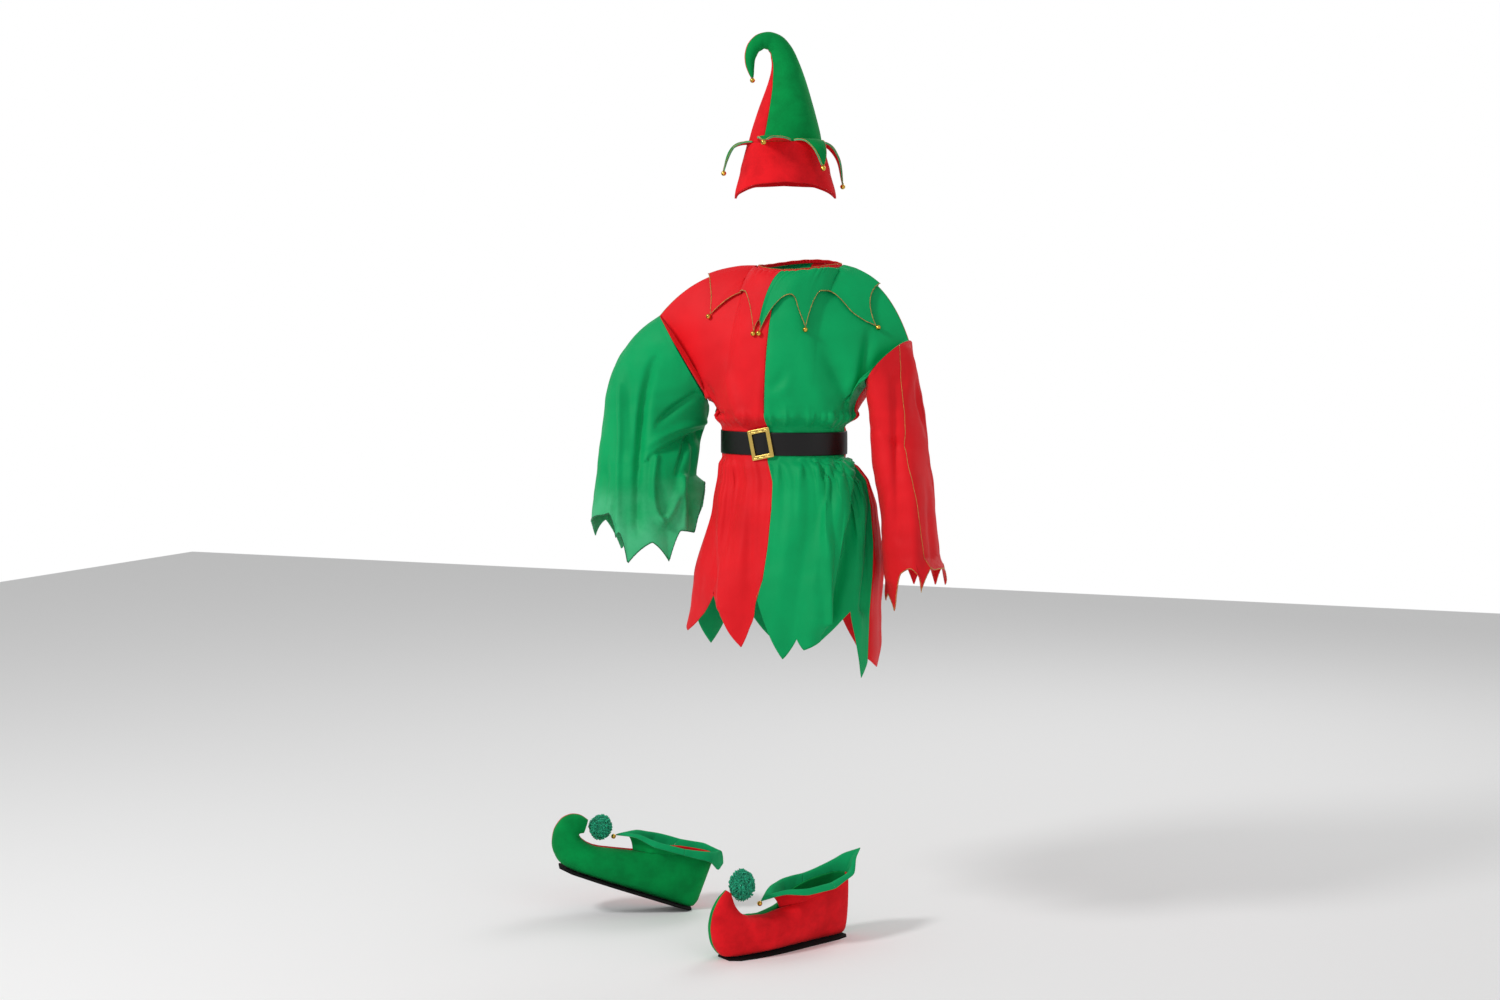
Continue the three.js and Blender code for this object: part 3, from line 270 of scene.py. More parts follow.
def tubes(paths, radii, sides=4, closed=False):
    """Round tubes along many paths of equal count, shape (tubes, points, 3), as points and faces.
    Each ring stands square to its path. An open tube has four sides and a flat face at each end."""
    ahead = np.roll(paths, -1, 1) - np.roll(paths, 1, 1) if closed else np.gradient(paths, axis=1)
    ahead = unit(ahead)
    helper = np.where(np.abs(ahead[..., 2:3]) > 0.8, [1.0, 0, 0], [0, 0, 1.0])
    one = unit(np.cross(ahead, helper))
    two = np.cross(ahead, one)
    angle = np.arange(sides) / sides * 2 * np.pi
    radii = np.broadcast_to(radii, paths.shape[:2])[..., None, None]
    ring = one[..., None, :] * np.cos(angle)[:, None] + two[..., None, :] * np.sin(angle)[:, None]
    points = paths[..., None, :] + ring * radii
    number, length = paths.shape[:2]
    base, _ = quads_of(length + (1 if closed else 0), sides, True)
    if closed:
        base = base % (length * sides)
    faces = (base[None] + (np.arange(number) * length * sides)[:, None, None]).reshape(-1, 4)
    if not closed:
        cap = np.arange(sides)
        ends = np.concatenate([cap[None, ::-1], cap[None] + (length - 1) * sides])
        ends = (ends[None] + (np.arange(number) * length * sides)[:, None, None]).reshape(-1, 4)
        faces = np.concatenate([faces, ends])
    return points.reshape(-1, 3), faces


def along_edge(edge, normals, inward, period, sway, lift, step=0.8):
    """Zigzag thread over an edge: a path that swings by sway to each side of it once a period."""
    length = np.concatenate([[0], np.cumsum(np.linalg.norm(np.diff(edge, axis=0), axis=1))])
    s = np.arange(0, length[-1], step)
    take = lambda values: np.stack([np.interp(s, length, values[:, k]) for k in range(3)], -1)
    swing = np.abs((s / period) % 1 * 2 - 1) * 2 - 1
    centre = take(edge) + take(inward) * sway * 0.55
    return centre + take(inward) * (swing * sway)[:, None] + take(normals) * lift


def thread(name, edges, radius):
    """One object of the thread on several edges: each is a path of its own."""
    points, faces, count = [], [], 0
    for path in edges:
        p, f = tubes(path[None], np.full((1, len(path)), radius))
        points.append(p)
        faces.append(f + count)
        count += len(p)
    return make_mesh(name, np.concatenate(points), np.concatenate(faces))


# Materials

def linear(hex_colour):
    """sRGB hex to linear: (c / 12.92) or ((c + 0.055) / 1.055) ^ 2.4."""
    c = np.array([int(hex_colour[k : k + 2], 16) / 255 for k in (1, 3, 5)])
    return tuple(np.where(c <= 0.04045, c / 12.92, ((c + 0.055) / 1.055) ** 2.4).tolist())


def rgba(colour, share=1.0):
    """A linear colour times a share, with alpha 1."""
    return tuple(c * share for c in colour) + (1.0,)


def add_node(tree, kind, inputs=None, **settings):
    """A node with its settings; an input is a value or another node's output socket."""
    made = tree.nodes.new(kind)
    for key, value in settings.items():
        setattr(made, key, value)
    for key, value in (inputs or {}).items():
        if isinstance(value, bpy.types.NodeSocket):
            tree.links.new(value, made.inputs[key])
        else:
            made.inputs[key].default_value = value
    return made


def start_material(name):
    """An empty material and its node tree."""
    material = bpy.data.materials.new(name)
    material.use_nodes = True
    material.node_tree.nodes.clear()
    return material, material.node_tree


def finish_material(tree, inputs):
    """A Principled shader with these inputs, joined to the output."""
    shader = add_node(tree, "ShaderNodeBsdfPrincipled", inputs)
    add_node(tree, "ShaderNodeOutputMaterial", {"Surface": shader.outputs[0]})


def place_of(tree):
    """The piece's own place in metres."""
    return add_node(tree, "ShaderNodeTexCoord").outputs["Object"]


def noise(tree, scale, detail, roughness=0.5, distortion=0.0):
    """Noise over the piece's own place."""
    inputs = {"Vector": place_of(tree), "Scale": scale, "Detail": detail, "Roughness": roughness}
    return add_node(tree, "ShaderNodeTexNoise", inputs | {"Distortion": distortion}).outputs["Fac"]


def two_tone(tree, value, colour, shade, low, high):
    """The colour, times shade where the value is low."""
    tone = add_node(tree, "ShaderNodeValToRGB", {"Fac": value})
    for element, position, share in zip(tone.color_ramp.elements, (low, high), (shade, 1.0)):
        element.position, element.color = position, rgba(colour, share)
    return tone.outputs["Color"]


def bumped(tree, height, strength, distance, under=None):
    """The normal raised by a height, on top of the normal of a finer bump under it."""
    inputs = {"Height": height, "Strength": strength, "Distance": distance}
    if under is not None:
        inputs["Normal"] = under
    return add_node(tree, "ShaderNodeBump", inputs).outputs["Normal"]


def combined(tree, one, two, operation):
    """Two values added or multiplied."""
    return add_node(tree, "ShaderNodeMath", {0: one, 1: two}, operation=operation).outputs[0]


def weave_height(tree, period):
    """Height of a plain weave: two band waves, along and across, a period apart in metres."""
    uv = add_node(tree, "ShaderNodeUVMap", uv_map="cloth").outputs[0]
    inputs = {"Vector": uv, "Scale": 2 * math.pi / (20 * period)}
    bands = [add_node(tree, "ShaderNodeTexWave", inputs, bands_direction=way).outputs["Fac"] for way in "XY"]
    return combined(tree, *bands, "ADD")


def polyester_cloth(name, colour, shade=0.86, sheer_backlight=None):
    """Brushed polyester tricot: an even strong dye colour, a faint slant sheen, a fine thread line
    drawn at 1.6 mm so that it shows, and soft creases. sheer_backlight is the paler tone of thin hems:
    painted backlight."""
    material, tree = start_material(name)
    dye_and_backlight = two_tone(tree, noise(tree, 9, 3, 0.55), colour, shade, 0.3, 0.62)
    # Painted backlight: thin hems are painted paler in blotches, standing in for light shining through them
    # from behind.
    if sheer_backlight:
        backlight_share = add_node(tree, "ShaderNodeAttribute", attribute_name="painted_backlight").outputs["Fac"]
        share = combined(tree, backlight_share, noise(tree, 16, 4, 0.6), "MULTIPLY")
        limits = {"Value": share, "From Min": 0.08, "From Max": 0.6, "To Max": 0.8}
        edge = add_node(tree, "ShaderNodeMapRange", limits, interpolation_type="SMOOTHSTEP").outputs[0]
        paler = {"Factor": edge, 6: dye_and_backlight, 7: rgba(sheer_backlight)}
        dye_and_backlight = add_node(tree, "ShaderNodeMix", paler, data_type="RGBA").outputs[2]
    fine = combined(tree, weave_height(tree, 0.0016), noise(tree, 420, 2), "ADD")
    small = bumped(tree, fine, 0.35, 0.00025)
    finish_material(tree, {
        "Base Color": dye_and_backlight, "Roughness": 0.5, "Sheen Weight": 0.05, "Sheen Roughness": 0.4,
        "Specular IOR Level": 0.12,
        "Normal": bumped(tree, noise(tree, 7, 2, distortion=0.6), 0.3, 0.012, small)})
    return material


def felt(name, colour, shade=0.72):
    """Velour felt, brushed: matt, deeper in random patches and paler at grazing light, with short soft nap.
    """
    material, tree = start_material(name)
    finish_material(tree, {
        "Base Color": two_tone(tree, noise(tree, 22, 4, 0.6), colour, shade, 0.32, 0.64),
        "Roughness": 0.85, "Sheen Weight": 0.05, "Sheen Roughness": 0.35, "Specular IOR Level": 0.1,
        "Normal": bumped(tree, noise(tree, 260, 5, 0.7), 0.5, 0.0012)})
    return material


def imitation_leather(name, colour):
    """Black embossed PVC: smooth soft gloss over a fine pebble grain."""
    material, tree = start_material(name)
    cells = add_node(tree, "ShaderNodeTexVoronoi", {"Vector": place_of(tree), "Scale": 700})
    grain = cells.outputs["Distance"]
    slack = noise(tree, 14, 2)
    scuff = add_node(tree, "ShaderNodeMapRange", {"Value": slack, "To Min": 0.34, "To Max": 0.5})
    finish_material(tree, {
        "Base Color": rgba(colour), "Roughness": scuff.outputs[0], "Specular IOR Level": 0.35,
        "Normal": bumped(tree, slack, 0.25, 0.006, bumped(tree, grain, 0.2, 0.0002))})
    return material


def plated_gold(name, colour, roughness=0.22):
    """Brass-plated pressed metal: bright yellow with slightly uneven polish."""
    material, tree = start_material(name)
    uneven = noise(tree, 160, 3)
    limits = {"Value": uneven, "To Min": roughness, "To Max": roughness + 0.18}
    finish_material(tree, {
        "Base Color": rgba(colour), "Metallic": 1.0,
        "Roughness": add_node(tree, "ShaderNodeMapRange", limits).outputs[0],
        "Normal": bumped(tree, uneven, 0.15, 0.0004)})
    return material


def spun_yarn(name, colour, shade, sheen, metallic=0.0):
    """Acrylic yarn or thread: soft, twisted, with a little colour change from strand to strand."""
    material, tree = start_material(name)
    strands = noise(tree, 180, 3)
    finish_material(tree, {
        "Base Color": two_tone(tree, strands, colour, shade, 0.35, 0.65), "Roughness": 0.6,
        "Sheen Weight": sheen, "Metallic": metallic, "Normal": bumped(tree, strands, 0.3, 0.0006)})
    return material


MATERIALS = {}


def make_materials(colours):
    """Every finish of the costume, named for what it is."""
    red, green = colours.red, colours.green
    MATERIALS.update({
        "tunic_red": polyester_cloth("red brushed polyester", red),
        "tunic_green": polyester_cloth("green brushed polyester", green),
        # 52C088 is painted backlight, the paler tone of thin hems with light shining through them.
        "sleeve_green": polyester_cloth("thin green polyester", green, sheer_backlight=linear("#52C088")),
        "felt_red": felt("red velour felt", red),
        "felt_green": felt("green velour felt", colours.hat_green),
        "lining_green": felt("green felt lining", linear("#10A463"), 0.85),
        "edge_green": felt("pale green felt edge", linear("#4FBF83"), 0.7),
        "belt": imitation_leather("black imitation leather", colours.belt),
        "sole": felt("black sole fabric", linear("#151112")),
        "gold": plated_gold("plated gold", colours.gold),
        "bell": plated_gold("bell brass", linear("#E2B34C"), 0.16),
        # Dark brown: the colour of the buckle's engraved wave, and painted shade in the bells' slots, which
        # are not cut open.
        "bell_slot": plated_gold("bell slot", linear("#3A2408"), 0.6),
        "gold_thread": spun_yarn("gold thread", linear("#E0B25A"), 0.5, 0.2, 0.35),
        "green_thread": spun_yarn("green thread", linear("#0A6A3C"), 0.6, 0.1),
        "yarn": spun_yarn("green acrylic yarn", colours.pompom, 0.5, 0.05),
    })


def dress(piece, finishes, slot, *nodes):
    """Gives a piece its finishes in slot order and its body, and hides the frame's nodes it stands for; slot
    is not used.
    """
    for finish in finishes:
        piece.data.materials.append(MATERIALS[finish])
    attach(piece, "root")
    if nodes:
        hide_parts(*nodes)
    return piece


# Tunic: columns run round the body from the centre front, 18 to a quarter.
# Front and back quarters have the neck to column 6, the shoulder seam to 11 and the armhole to 18.
NECK_COLUMNS = 6
SHOULDER_COLUMNS = 11
QUARTER = 18
NECKLINE = {"across": 10, "half_width": 92, "half_depth": 78, "front": 1408, "side": 1420, "back": 1432}
CHEST_HEIGHT = 1124
ARMHOLE = {
    "left": {
        "out": (233, 72, 1270), "under": (150, 70, 1180), "depth": 76, "swing": -22,
        "bend": (188, 52, 1406)},
    "right": {
        "out": (-287, -92, 1322), "under": (-182, -80, 1140), "depth": 80, "swing": 0,
        "bend": (-202, -66, 1426)},
}
CHEST_ANGLE = table("column angle", (0, 0), (6, 38), (11, 62), (18, 90))
BODY = table(
    "height across half_width half_depth gather fold",
    (1124, -22, 157, 118, 1.2, 0),
    (1113, -21, 158, 119, 2.2, 0),
    (1103, -22, 149, 109, 2.2, 0),
    (1092, -24, 135, 93, 0.4, 0),
    (1022, -24, 135, 93, 0.4, 0),
    (1012, -16, 148, 104, 2.4, 0.1),
    (980, -4, 162, 117, 2, 0.3),
    (925, -2, 174, 130, 1, 0.6),
    (850, -6, 188, 140, 0.5, 0.9),
    (780, -14, 198, 147, 0.3, 1),
)
FOLD_EASE = 322  # below the waist, where the columns have swung to their places in the hem
HEM = {"across": -25, "half_width": 204, "half_depth": 152, "gather": 0, "fold": 1.1}
WAIST_HEIGHT = 1022
SKIRT_HEIGHT = 780
HEM_LEFT = table(
    "column angle height",
    (0, 0, 745), (3, 16, 620), (5, 24, 662), (6, 28, 640), (12, 59, 716), (15, 71, 575), (18, 79, 612),
    (21, 98, 588), (25, 121, 715), (29, 141, 592), (33, 162, 712), (35, 173, 640), (36, 180, 700),
)
HEM_RIGHT = table(
    "column angle height",
    (0, 0, 745), (3, 9.5, 640), (8, 30, 748), (14, 60, 658), (16, 76, 695), (18, 90, 735), (22, 112, 612),
    (27, 135, 722), (32, 158, 614), (36, 180, 700),
)
FOLDS = table(
    "top low width height",
    (62, 32, 7, 13), (30, 12, 8, 6), (84, 64, 6, 6), (-22, -18, 7, 7), (-55, -62, 9, 9), (-92, -100, 8, 8),
    (118, 112, 8, 9), (150, 146, 8, 8), (-128, -132, 8, 9), (-160, -166, 8, 7),
)

# Creases of the body: three points across and above the floor, the width on each side of the
# line, the depth, and the share of it at both ends. The first list is the front, the second the back.
FRONT_CREASES = (
    (-190, 1180, -176, 1150, -168, 1118, 9, 6, -5, 0.2, 1),
    (-186, 1126, -165, 1113, -128, 1118, 5, 7, -5, 0.4, 0.2),
    (-150, 1240, -140, 1190, -118, 1122, 16, 12, 3, 0, 1),
    (-84, 1210, -72, 1160, -80, 1112, 12, 18, 3.5, 0, 0.8),
    (-25, 1226, -35, 1190, -70, 1168, 8, 12, -2.2, 0, 0.2),
    (-12, 1204, -24, 1172, -64, 1148, 8, 12, 2, 0, 0.2),
    (44, 1290, 80, 1210, 122, 1120, 16, 24, -5, 0.1, 0.8),
    (10, 1280, 30, 1200, 60, 1112, 20, 26, 3, 0, 0.8),
    (150, 1290, 142, 1240, 132, 1176, 9, 12, -5, 0.3, 0.5),
    (104, 1190, 112, 1150, 108, 1108, 9, 12, 3, 0, 1),
    (-60, 1126, -52, 1112, -50, 1098, 4, 4, 2.5, 0.3, 0.8),
    (-24, 1130, -20, 1114, -22, 1098, 5, 4, 2.5, 0.3, 0.8),
    (22, 1128, 26, 1114, 24, 1098, 5, 5, 2.5, 0.3, 0.8),
    (76, 1128, 72, 1114, 70, 1098, 6, 5, 3, 0.3, 0.8),
    (-110, 1128, -104, 1114, -106, 1098, 6, 4, 2.5, 0.3, 0.8),
    (66, 1026, 58, 880, 54, 695, 5, 9, 7, 0.5, 0.9),
    (116, 1032, 96, 911, 56, 700, 26, 5, 9, 0.5, 1),
    (124, 1026, 112, 900, 70, 715, 5, 16, -9, 0.3, 1),
    (40, 1026, 44, 990, 46, 930, 4, 6, 3, 0.8, 0),
    (12, 1026, 6, 985, 2, 900, 5, 7, 2.6, 0.8, 0),
    (-34, 1026, -38, 990, -44, 900, 5, 5, 2.4, 0.8, 0),
    (90, 1026, 88, 980, 82, 900, 5, 4, 3, 0.8, 0),
    (150, 1000, 158, 900, 140, 720, 8, 12, -6, 0.2, 1),
    (-152, 976, -154, 862, -156, 720, 9, 16, 6, 0.1, 0.7),
    (-120, 1016, -138, 900, -186, 700, 10, 12, -4, 0.2, 0.8),
    (-96, 1010, -98, 850, -90, 700, 14, 10, -3, 0.3, 0.6),
)
BACK_CREASES = (
    (-120, 1290, -90, 1200, -70, 1104, 14, 20, -4, 0.1, 0.8),
    (40, 1300, 30, 1210, 52, 1104, 18, 14, 4, 0, 0.8),
    (130, 1270, 110, 1190, 96, 1104, 14, 14, -5, 0.1, 1),
    (-30, 1240, -26, 1180, -20, 1104, 16, 12, 3, 0, 0.8),
    (-150, 1200, -140, 1160, -130, 1104, 12, 9, 4, 0.1, 1),
    (-100, 1128, -96, 1112, -98, 1098, 5, 5, 3, 0.3, 0.8),
    (-50, 1128, -46, 1112, -44, 1098, 5, 4, 2.5, 0.3, 0.8),
    (12, 1128, 10, 1112, 14, 1098, 4, 5, 2.5, 0.3, 0.8),
    (74, 1128, 72, 1112, 68, 1098, 5, 5, 3, 0.3, 0.8),
    (-90, 1026, -96, 900, -120, 700, 8, 14, 6, 0.4, 0.9),
    (-20, 1026, -14, 920, -22, 720, 10, 7, 5, 0.4, 0.8),
    (50, 1026, 60, 900, 84, 700, 12, 8, 7, 0.4, 0.9),
    (100, 1026, 116, 920, 140, 760, 7, 12, -6, 0.3, 0.9),
    (-140, 1010, -150, 900, -170, 740, 12, 8, -5, 0.3, 0.9),
)


def ring_point(outer, inner, depth, angle):
    """A point of a ring: its middle, half the width by the cosine and half the depth by the sine."""
    middle = (outer + inner) / 2
    return middle + (outer - middle) * np.cos(angle)[..., None] + depth * np.sin(angle)[..., None]


def depth_of(depth, swing):
    """Half the depth of a ring as a vector, swung from the front of the turned frame."""
    a = np.radians(swing)
    return turned(depth * np.sin(a), depth * np.cos(a), 0)


def armhole_ring(hole, angle):
    """The ring of an armhole, or of the sleeve's end in it."""
    depth = depth_of(hole["depth"], hole["swing"])
    return ring_point(turned(*hole["out"]), turned(*hole["under"]), depth, angle)


def quarter_of(column):
    """Columns from the nearest centre line, front or back."""
    c = np.abs(column)
    return np.where(c > QUARTER, 2 * QUARTER - c, c)


def upper_edge(column):
    """Upper edge of the body: the neckline is an ellipse, the shoulder seam a quadratic curve and the
    armhole a ring."""
    rear = np.abs(column) > QUARTER
    quarter = quarter_of(column)
    sign = np.where(column < 0, -1, 1)
    middle = turned(NECKLINE["across"], 0, 0)

    def neck(angle):
        level = np.where(rear, NECKLINE["back"], NECKLINE["front"])
        x = middle[0] + sign * NECKLINE["half_width"] * np.sin(angle)
        y = middle[1] + np.where(rear, 1, -1) * NECKLINE["half_depth"] * np.cos(angle)
        return np.stack([x, y, mix(level, NECKLINE["side"], np.sin(angle) ** 2)], -1)

    neckline = neck(np.pi / 2 * np.clip(quarter / NECK_COLUMNS, 0, 1))
    seam_start = neck(np.full(column.shape, np.pi / 2))
    t = np.clip((quarter - NECK_COLUMNS) / (SHOULDER_COLUMNS - NECK_COLUMNS), 0, 1)
    around = np.clip((quarter - SHOULDER_COLUMNS) / (QUARTER - SHOULDER_COLUMNS), 0, 1) * np.pi
    edge = neckline
    for side, hole in ARMHOLE.items():
        ours = (column < 0) == (side == "right")
        arm = armhole_ring(hole, around * np.where(rear, -1, 1))
        shoulder = bezier(seam_start, turned(*hole["bend"]), turned(*hole["out"]), t)
        edge = np.where((ours & (quarter > NECK_COLUMNS))[..., None], shoulder, edge)
        edge = np.where((ours & (quarter >= SHOULDER_COLUMNS))[..., None], arm, edge)
    return edge


def section_point(across, half_width, half_depth, angle, height, swell=0):
    """A point of a body section, an ellipse by its angle in degrees from the centre front."""
    middle = turned(across, 0, 0)
    a = np.radians(angle)
    x = middle[..., 0] + (half_width + swell) * np.sin(a)
    y = middle[..., 1] - (half_depth + swell) * np.cos(a)
    return np.stack(np.broadcast_arrays(x, y, height), -1)


def chest_angle(column):
    """Angle at which a column meets the chest."""
    angle = read(CHEST_ANGLE, "angle", quarter_of(column))
    return np.sign(column) * np.where(np.abs(column) > QUARTER, 180 - angle, angle)


def yoke_point(column, down):
    """The yoke from the upper edge to the chest: below the neck forward like a sine and down like one
    minus a cosine, off the armhole first in towards the body and then down."""
    top = upper_edge(column)
    chest = [BODY[k][0] for k in ("across", "half_width", "half_depth")]
    base = section_point(*chest, chest_angle(column), CHEST_HEIGHT)
    quarter = quarter_of(column)
    shoulder = smoothstep(quarter, 3, SHOULDER_COLUMNS)
    armhole = smoothstep(quarter, SHOULDER_COLUMNS - 1, SHOULDER_COLUMNS + 3)
    rise = np.sin(down * np.pi / 2)
    fall = 1 - np.cos(down * np.pi / 2)
    shares = (
        mix(mix(rise, down**1.15, shoulder), rise, armhole),
        mix(rise, down**2, armhole),
        mix(fall, down, 0.6 * shoulder + 0.4 * armhole),
    )
    return mix(top, base, np.stack(shares, -1))


def fold_height(angle, weight):
    """Long skirt folds: bells across the angle that lean from the waist to the hem and grow downwards."""
    total = 0
    for top, low, width, height in zip(*FOLDS.values()):
        ridge = mix(top, low, np.minimum(weight, 1))
        apart = (angle - ridge + 540) % 360 - 180
        total = total + height * weight * np.exp(-((apart / width) ** 2))
    return total


def bowed(rows, name, x, bow):
    """A zigzag column read straight between rows, each side bowed by a parabola whose height is this
    share of the side's rise."""
    keys = next(iter(rows.values()))
    k = np.clip(np.searchsorted(keys, x, "right") - 1, 0, len(keys) - 2)
    t = (x - keys[k]) / (keys[k + 1] - keys[k])
    rise = np.abs(rows[name][k + 1] - rows[name][k])
    return mix(rows[name][k], rows[name][k + 1], t) - bow * rise * 4 * t * (1 - t)


def hem_of(column, name, bow=0.0):
    """The skirt hem at a column: its angle or its height."""
    c = np.abs(column)
    return np.where(column < 0, bowed(HEM_RIGHT, name, c, bow), bowed(HEM_LEFT, name, c, bow))


def skirt_angle(column, height):
    """Angle of a column below the waist, easing from the chest's to the hem's."""
    share = np.clip((WAIST_HEIGHT - height) / FOLD_EASE, 0, 1)
    return mix(chest_angle(column), np.sign(column) * hem_of(column, "angle"), share)


def gathers(column):
    """Small gathers round the waist: two cosines of the column that drift against each other."""
    broad = np.cos(column * np.pi * 0.67 + np.sin(column))
    return broad + 0.5 * np.cos(column * 5.3 + 1.6 * np.sin(column * 0.9))


def body_point(column, height):
    """The body below the chest, a section at each height with its gathers and folds."""
    soft = 5
    across, wide, deep, gather, fold = (
        read(BODY, k, height, soft) for k in ("across", "half_width", "half_depth", "gather", "fold")
    )
    angle = skirt_angle(column, height)
    swell = gather * gathers(column) + fold_height(angle, fold)
    return section_point(across, wide, deep, angle, height, swell)


def hem_point(column, t, hem_height):
    """The last stretch of the skirt, t of the way from its level rows to its zigzag hem."""
    low = {k: mix(BODY[k][-1], HEM[k], t) for k in HEM}
    height = mix(SKIRT_HEIGHT, hem_height, t)
    angle = skirt_angle(column, np.maximum(height, 700))
    swell = low["gather"] * gathers(column) + fold_height(angle, low["fold"])
    return section_point(low["across"], low["half_width"], low["half_depth"], angle, height, swell)


PANEL = {"columns": 6 * QUARTER + 1, "yoke": 52, "level": 70, "drop": 22, "spacing": 2.5}
PANEL_WAVES = ((150, 1.2, 65), (90, 0.7, 20), (60, 0.4, 110))
UNDER_BELT = (1022, 1033, 1083, 1092)  # no creases between the middle two
SEAM_DIP = {"depth": 0.9, "width": 3}  # the stitched seams are drawn in


def seam_dip(edge):
    """A trough along a seam, like a bell across it."""
    return SEAM_DIP["depth"] * np.exp(-((edge / SEAM_DIP["width"]) ** 2))


def tunic_panel(first, last, depth):
    """Grid and normals of a quarter of the tunic, its creases pressed along the normals."""
    column = np.linspace(first, last, PANEL["columns"])
    yoke = np.linspace(0, 1, PANEL["yoke"])
    level = np.linspace(CHEST_HEIGHT, SKIRT_HEIGHT, PANEL["level"])[1:]
    drop = np.linspace(0, 1, PANEL["drop"])[1:]
    shaped = lambda rows: np.meshgrid(rows, column, indexing="ij")
    down, c = shaped(yoke)
    upper = yoke_point(c, down)
    quarter = quarter_of(c)
    on_seam = (quarter >= NECK_COLUMNS) & (quarter <= SHOULDER_COLUMNS)
    upper[..., 1] += on_seam * np.where(np.abs(c) > QUARTER, 1, -1) * SEAM / 2 * np.exp(-down / 0.02)
    height, c = shaped(level)
    middle = body_point(c, height)
    t, c = shaped(drop)
    lower = hem_point(c, t, hem_of(c, "height", 0.1))
    grid = np.concatenate([upper, middle, lower])
    normals = grid_normals(grid)
    normals = facing(normals, grid * [1, 1, 0] - turned(-10, 0, 0))
    across, high = across_of(grid), grid[..., 2]
    rear = abs(first + last) / 2 > QUARTER
    pressed = creases(across, high, BACK_CREASES if rear else FRONT_CREASES) * depth
    pressed += waves(across, high, PANEL_WAVES)
    edge = from_edges(len(column), PANEL["spacing"])
    pressed = pressed * smoothstep(edge, -4, 14) - seam_dip(edge)
    held = smoothstep(np.arange(len(grid)), 0, 9)[:, None]
    belted = smoothstep(high, *UNDER_BELT[:2]) * (1 - smoothstep(high, *UNDER_BELT[2:]))
    grid = grid + normals * (pressed * held * (1 - belted))[..., None]
    part_seams(grid)
    return grid, facing(grid_normals(grid), normals)


PANELS = (
    ("tunic_front_green", 0, 18, "tunic_green"),
    ("tunic_back_red", 18, 36, "tunic_red"),
    ("tunic_back_green", -36, -18, "tunic_green"),
    ("tunic_front_red", -18, 0, "tunic_red"),
)


class COSTUME_OT_tunic(bpy.types.Operator):
    """Four body panels with neckline, armholes, bloused waist and zigzag hem"""

    bl_idname = "costume.tunic"
    bl_label = "Tunic"

    def execute(self, context):
        sizes = context.scene.costume_sizes
        for node, first, last, finish in PANELS:
            grid, normals = tunic_panel(first, last, sizes.crease)
            piece = shell(f"{node}_cloth", grid, normals, sizes.cloth / MM)
            dress(piece, [finish] * 3, finish, node)
        return {"FINISHED"}


# Sleeves: each row is a ring from its outer to its inner point, with the forward shift,
# half depth and swing of its middle. The last rows of a sleeve reach for its cuff ring.
SLEEVES = {
    "left": table(
        "row out out_height in in_height forward depth swing",
        (0, 233, 1270, 150, 1180, 71, 76, -22),
        (1, 242, 1239, 153, 1152, 72, 73, -22),
        (2, 251, 1198, 155, 1123, 74, 71, -20),
        (3, 262, 1133, 154, 1084, 76, 71, -17),
        (4, 274, 1049, 160, 1030, 76, 77, -14),
        (5, 284, 966, 169, 961, 80, 84, -10),
        (6, 294, 877, 180, 877, 84, 91, -6),
        (7, 299, 823, 184, 823, 86, 95, -3),
    ),
    "right": table(
        "row out out_height in in_height forward depth swing",
        (0, -287, 1322, -182, 1140, -86, 80, 0),
        (1, -322, 1298, -184, 1117, -92, 78, 0),
        (2, -357, 1262, -187, 1099, -98, 74, 0),
        (3, -385, 1218, -193, 1081, -102, 70, 0),
        (4, -403, 1162, -199, 1059, -98, 70, 0),
        (5, -410, 1096, -203, 1035, -88, 74, 0),
        (6, -419, 1014, -207, 1004, -76, 82, 0),
        (7, -428, 948, -209, 979, -68, 88, 0),
    ),
}
CUFF_RINGS = {
    "left": {
        "out": 311, "out_height": 778, "in": 186, "in_height": 778,
        "forward": 88, "depth": 102, "swing": 0},
    "right": {
        "out": -434, "out_height": 872, "in": -190, "in_height": 953,
        "forward": -62, "depth": 98, "swing": 0},
}
CUFFS = {
    "left": table(
        "angle height",
        (0, 765), (30, 804), (66, 811), (87, 761), (108, 808), (124, 797), (142, 717), (165, 748), (180, 732),
        (205, 798), (228, 750), (250, 805), (274, 752), (298, 807), (320, 756), (342, 804), (360, 765),
    ),
    "right": table(
        "angle height",
        (0, 881), (50, 906), (58, 853), (62, 868), (71, 801), (96, 847), (113, 805), (126, 870), (146, 864),
        (163, 934), (180, 968), (200, 914), (218, 858), (238, 894), (258, 820), (280, 872), (301, 814),
        (322, 882), (342, 850), (360, 881),
    ),
}
SLEEVE_SEAM = {"over": 0.5, "under": 2.4}  # along the arm, over it and under it
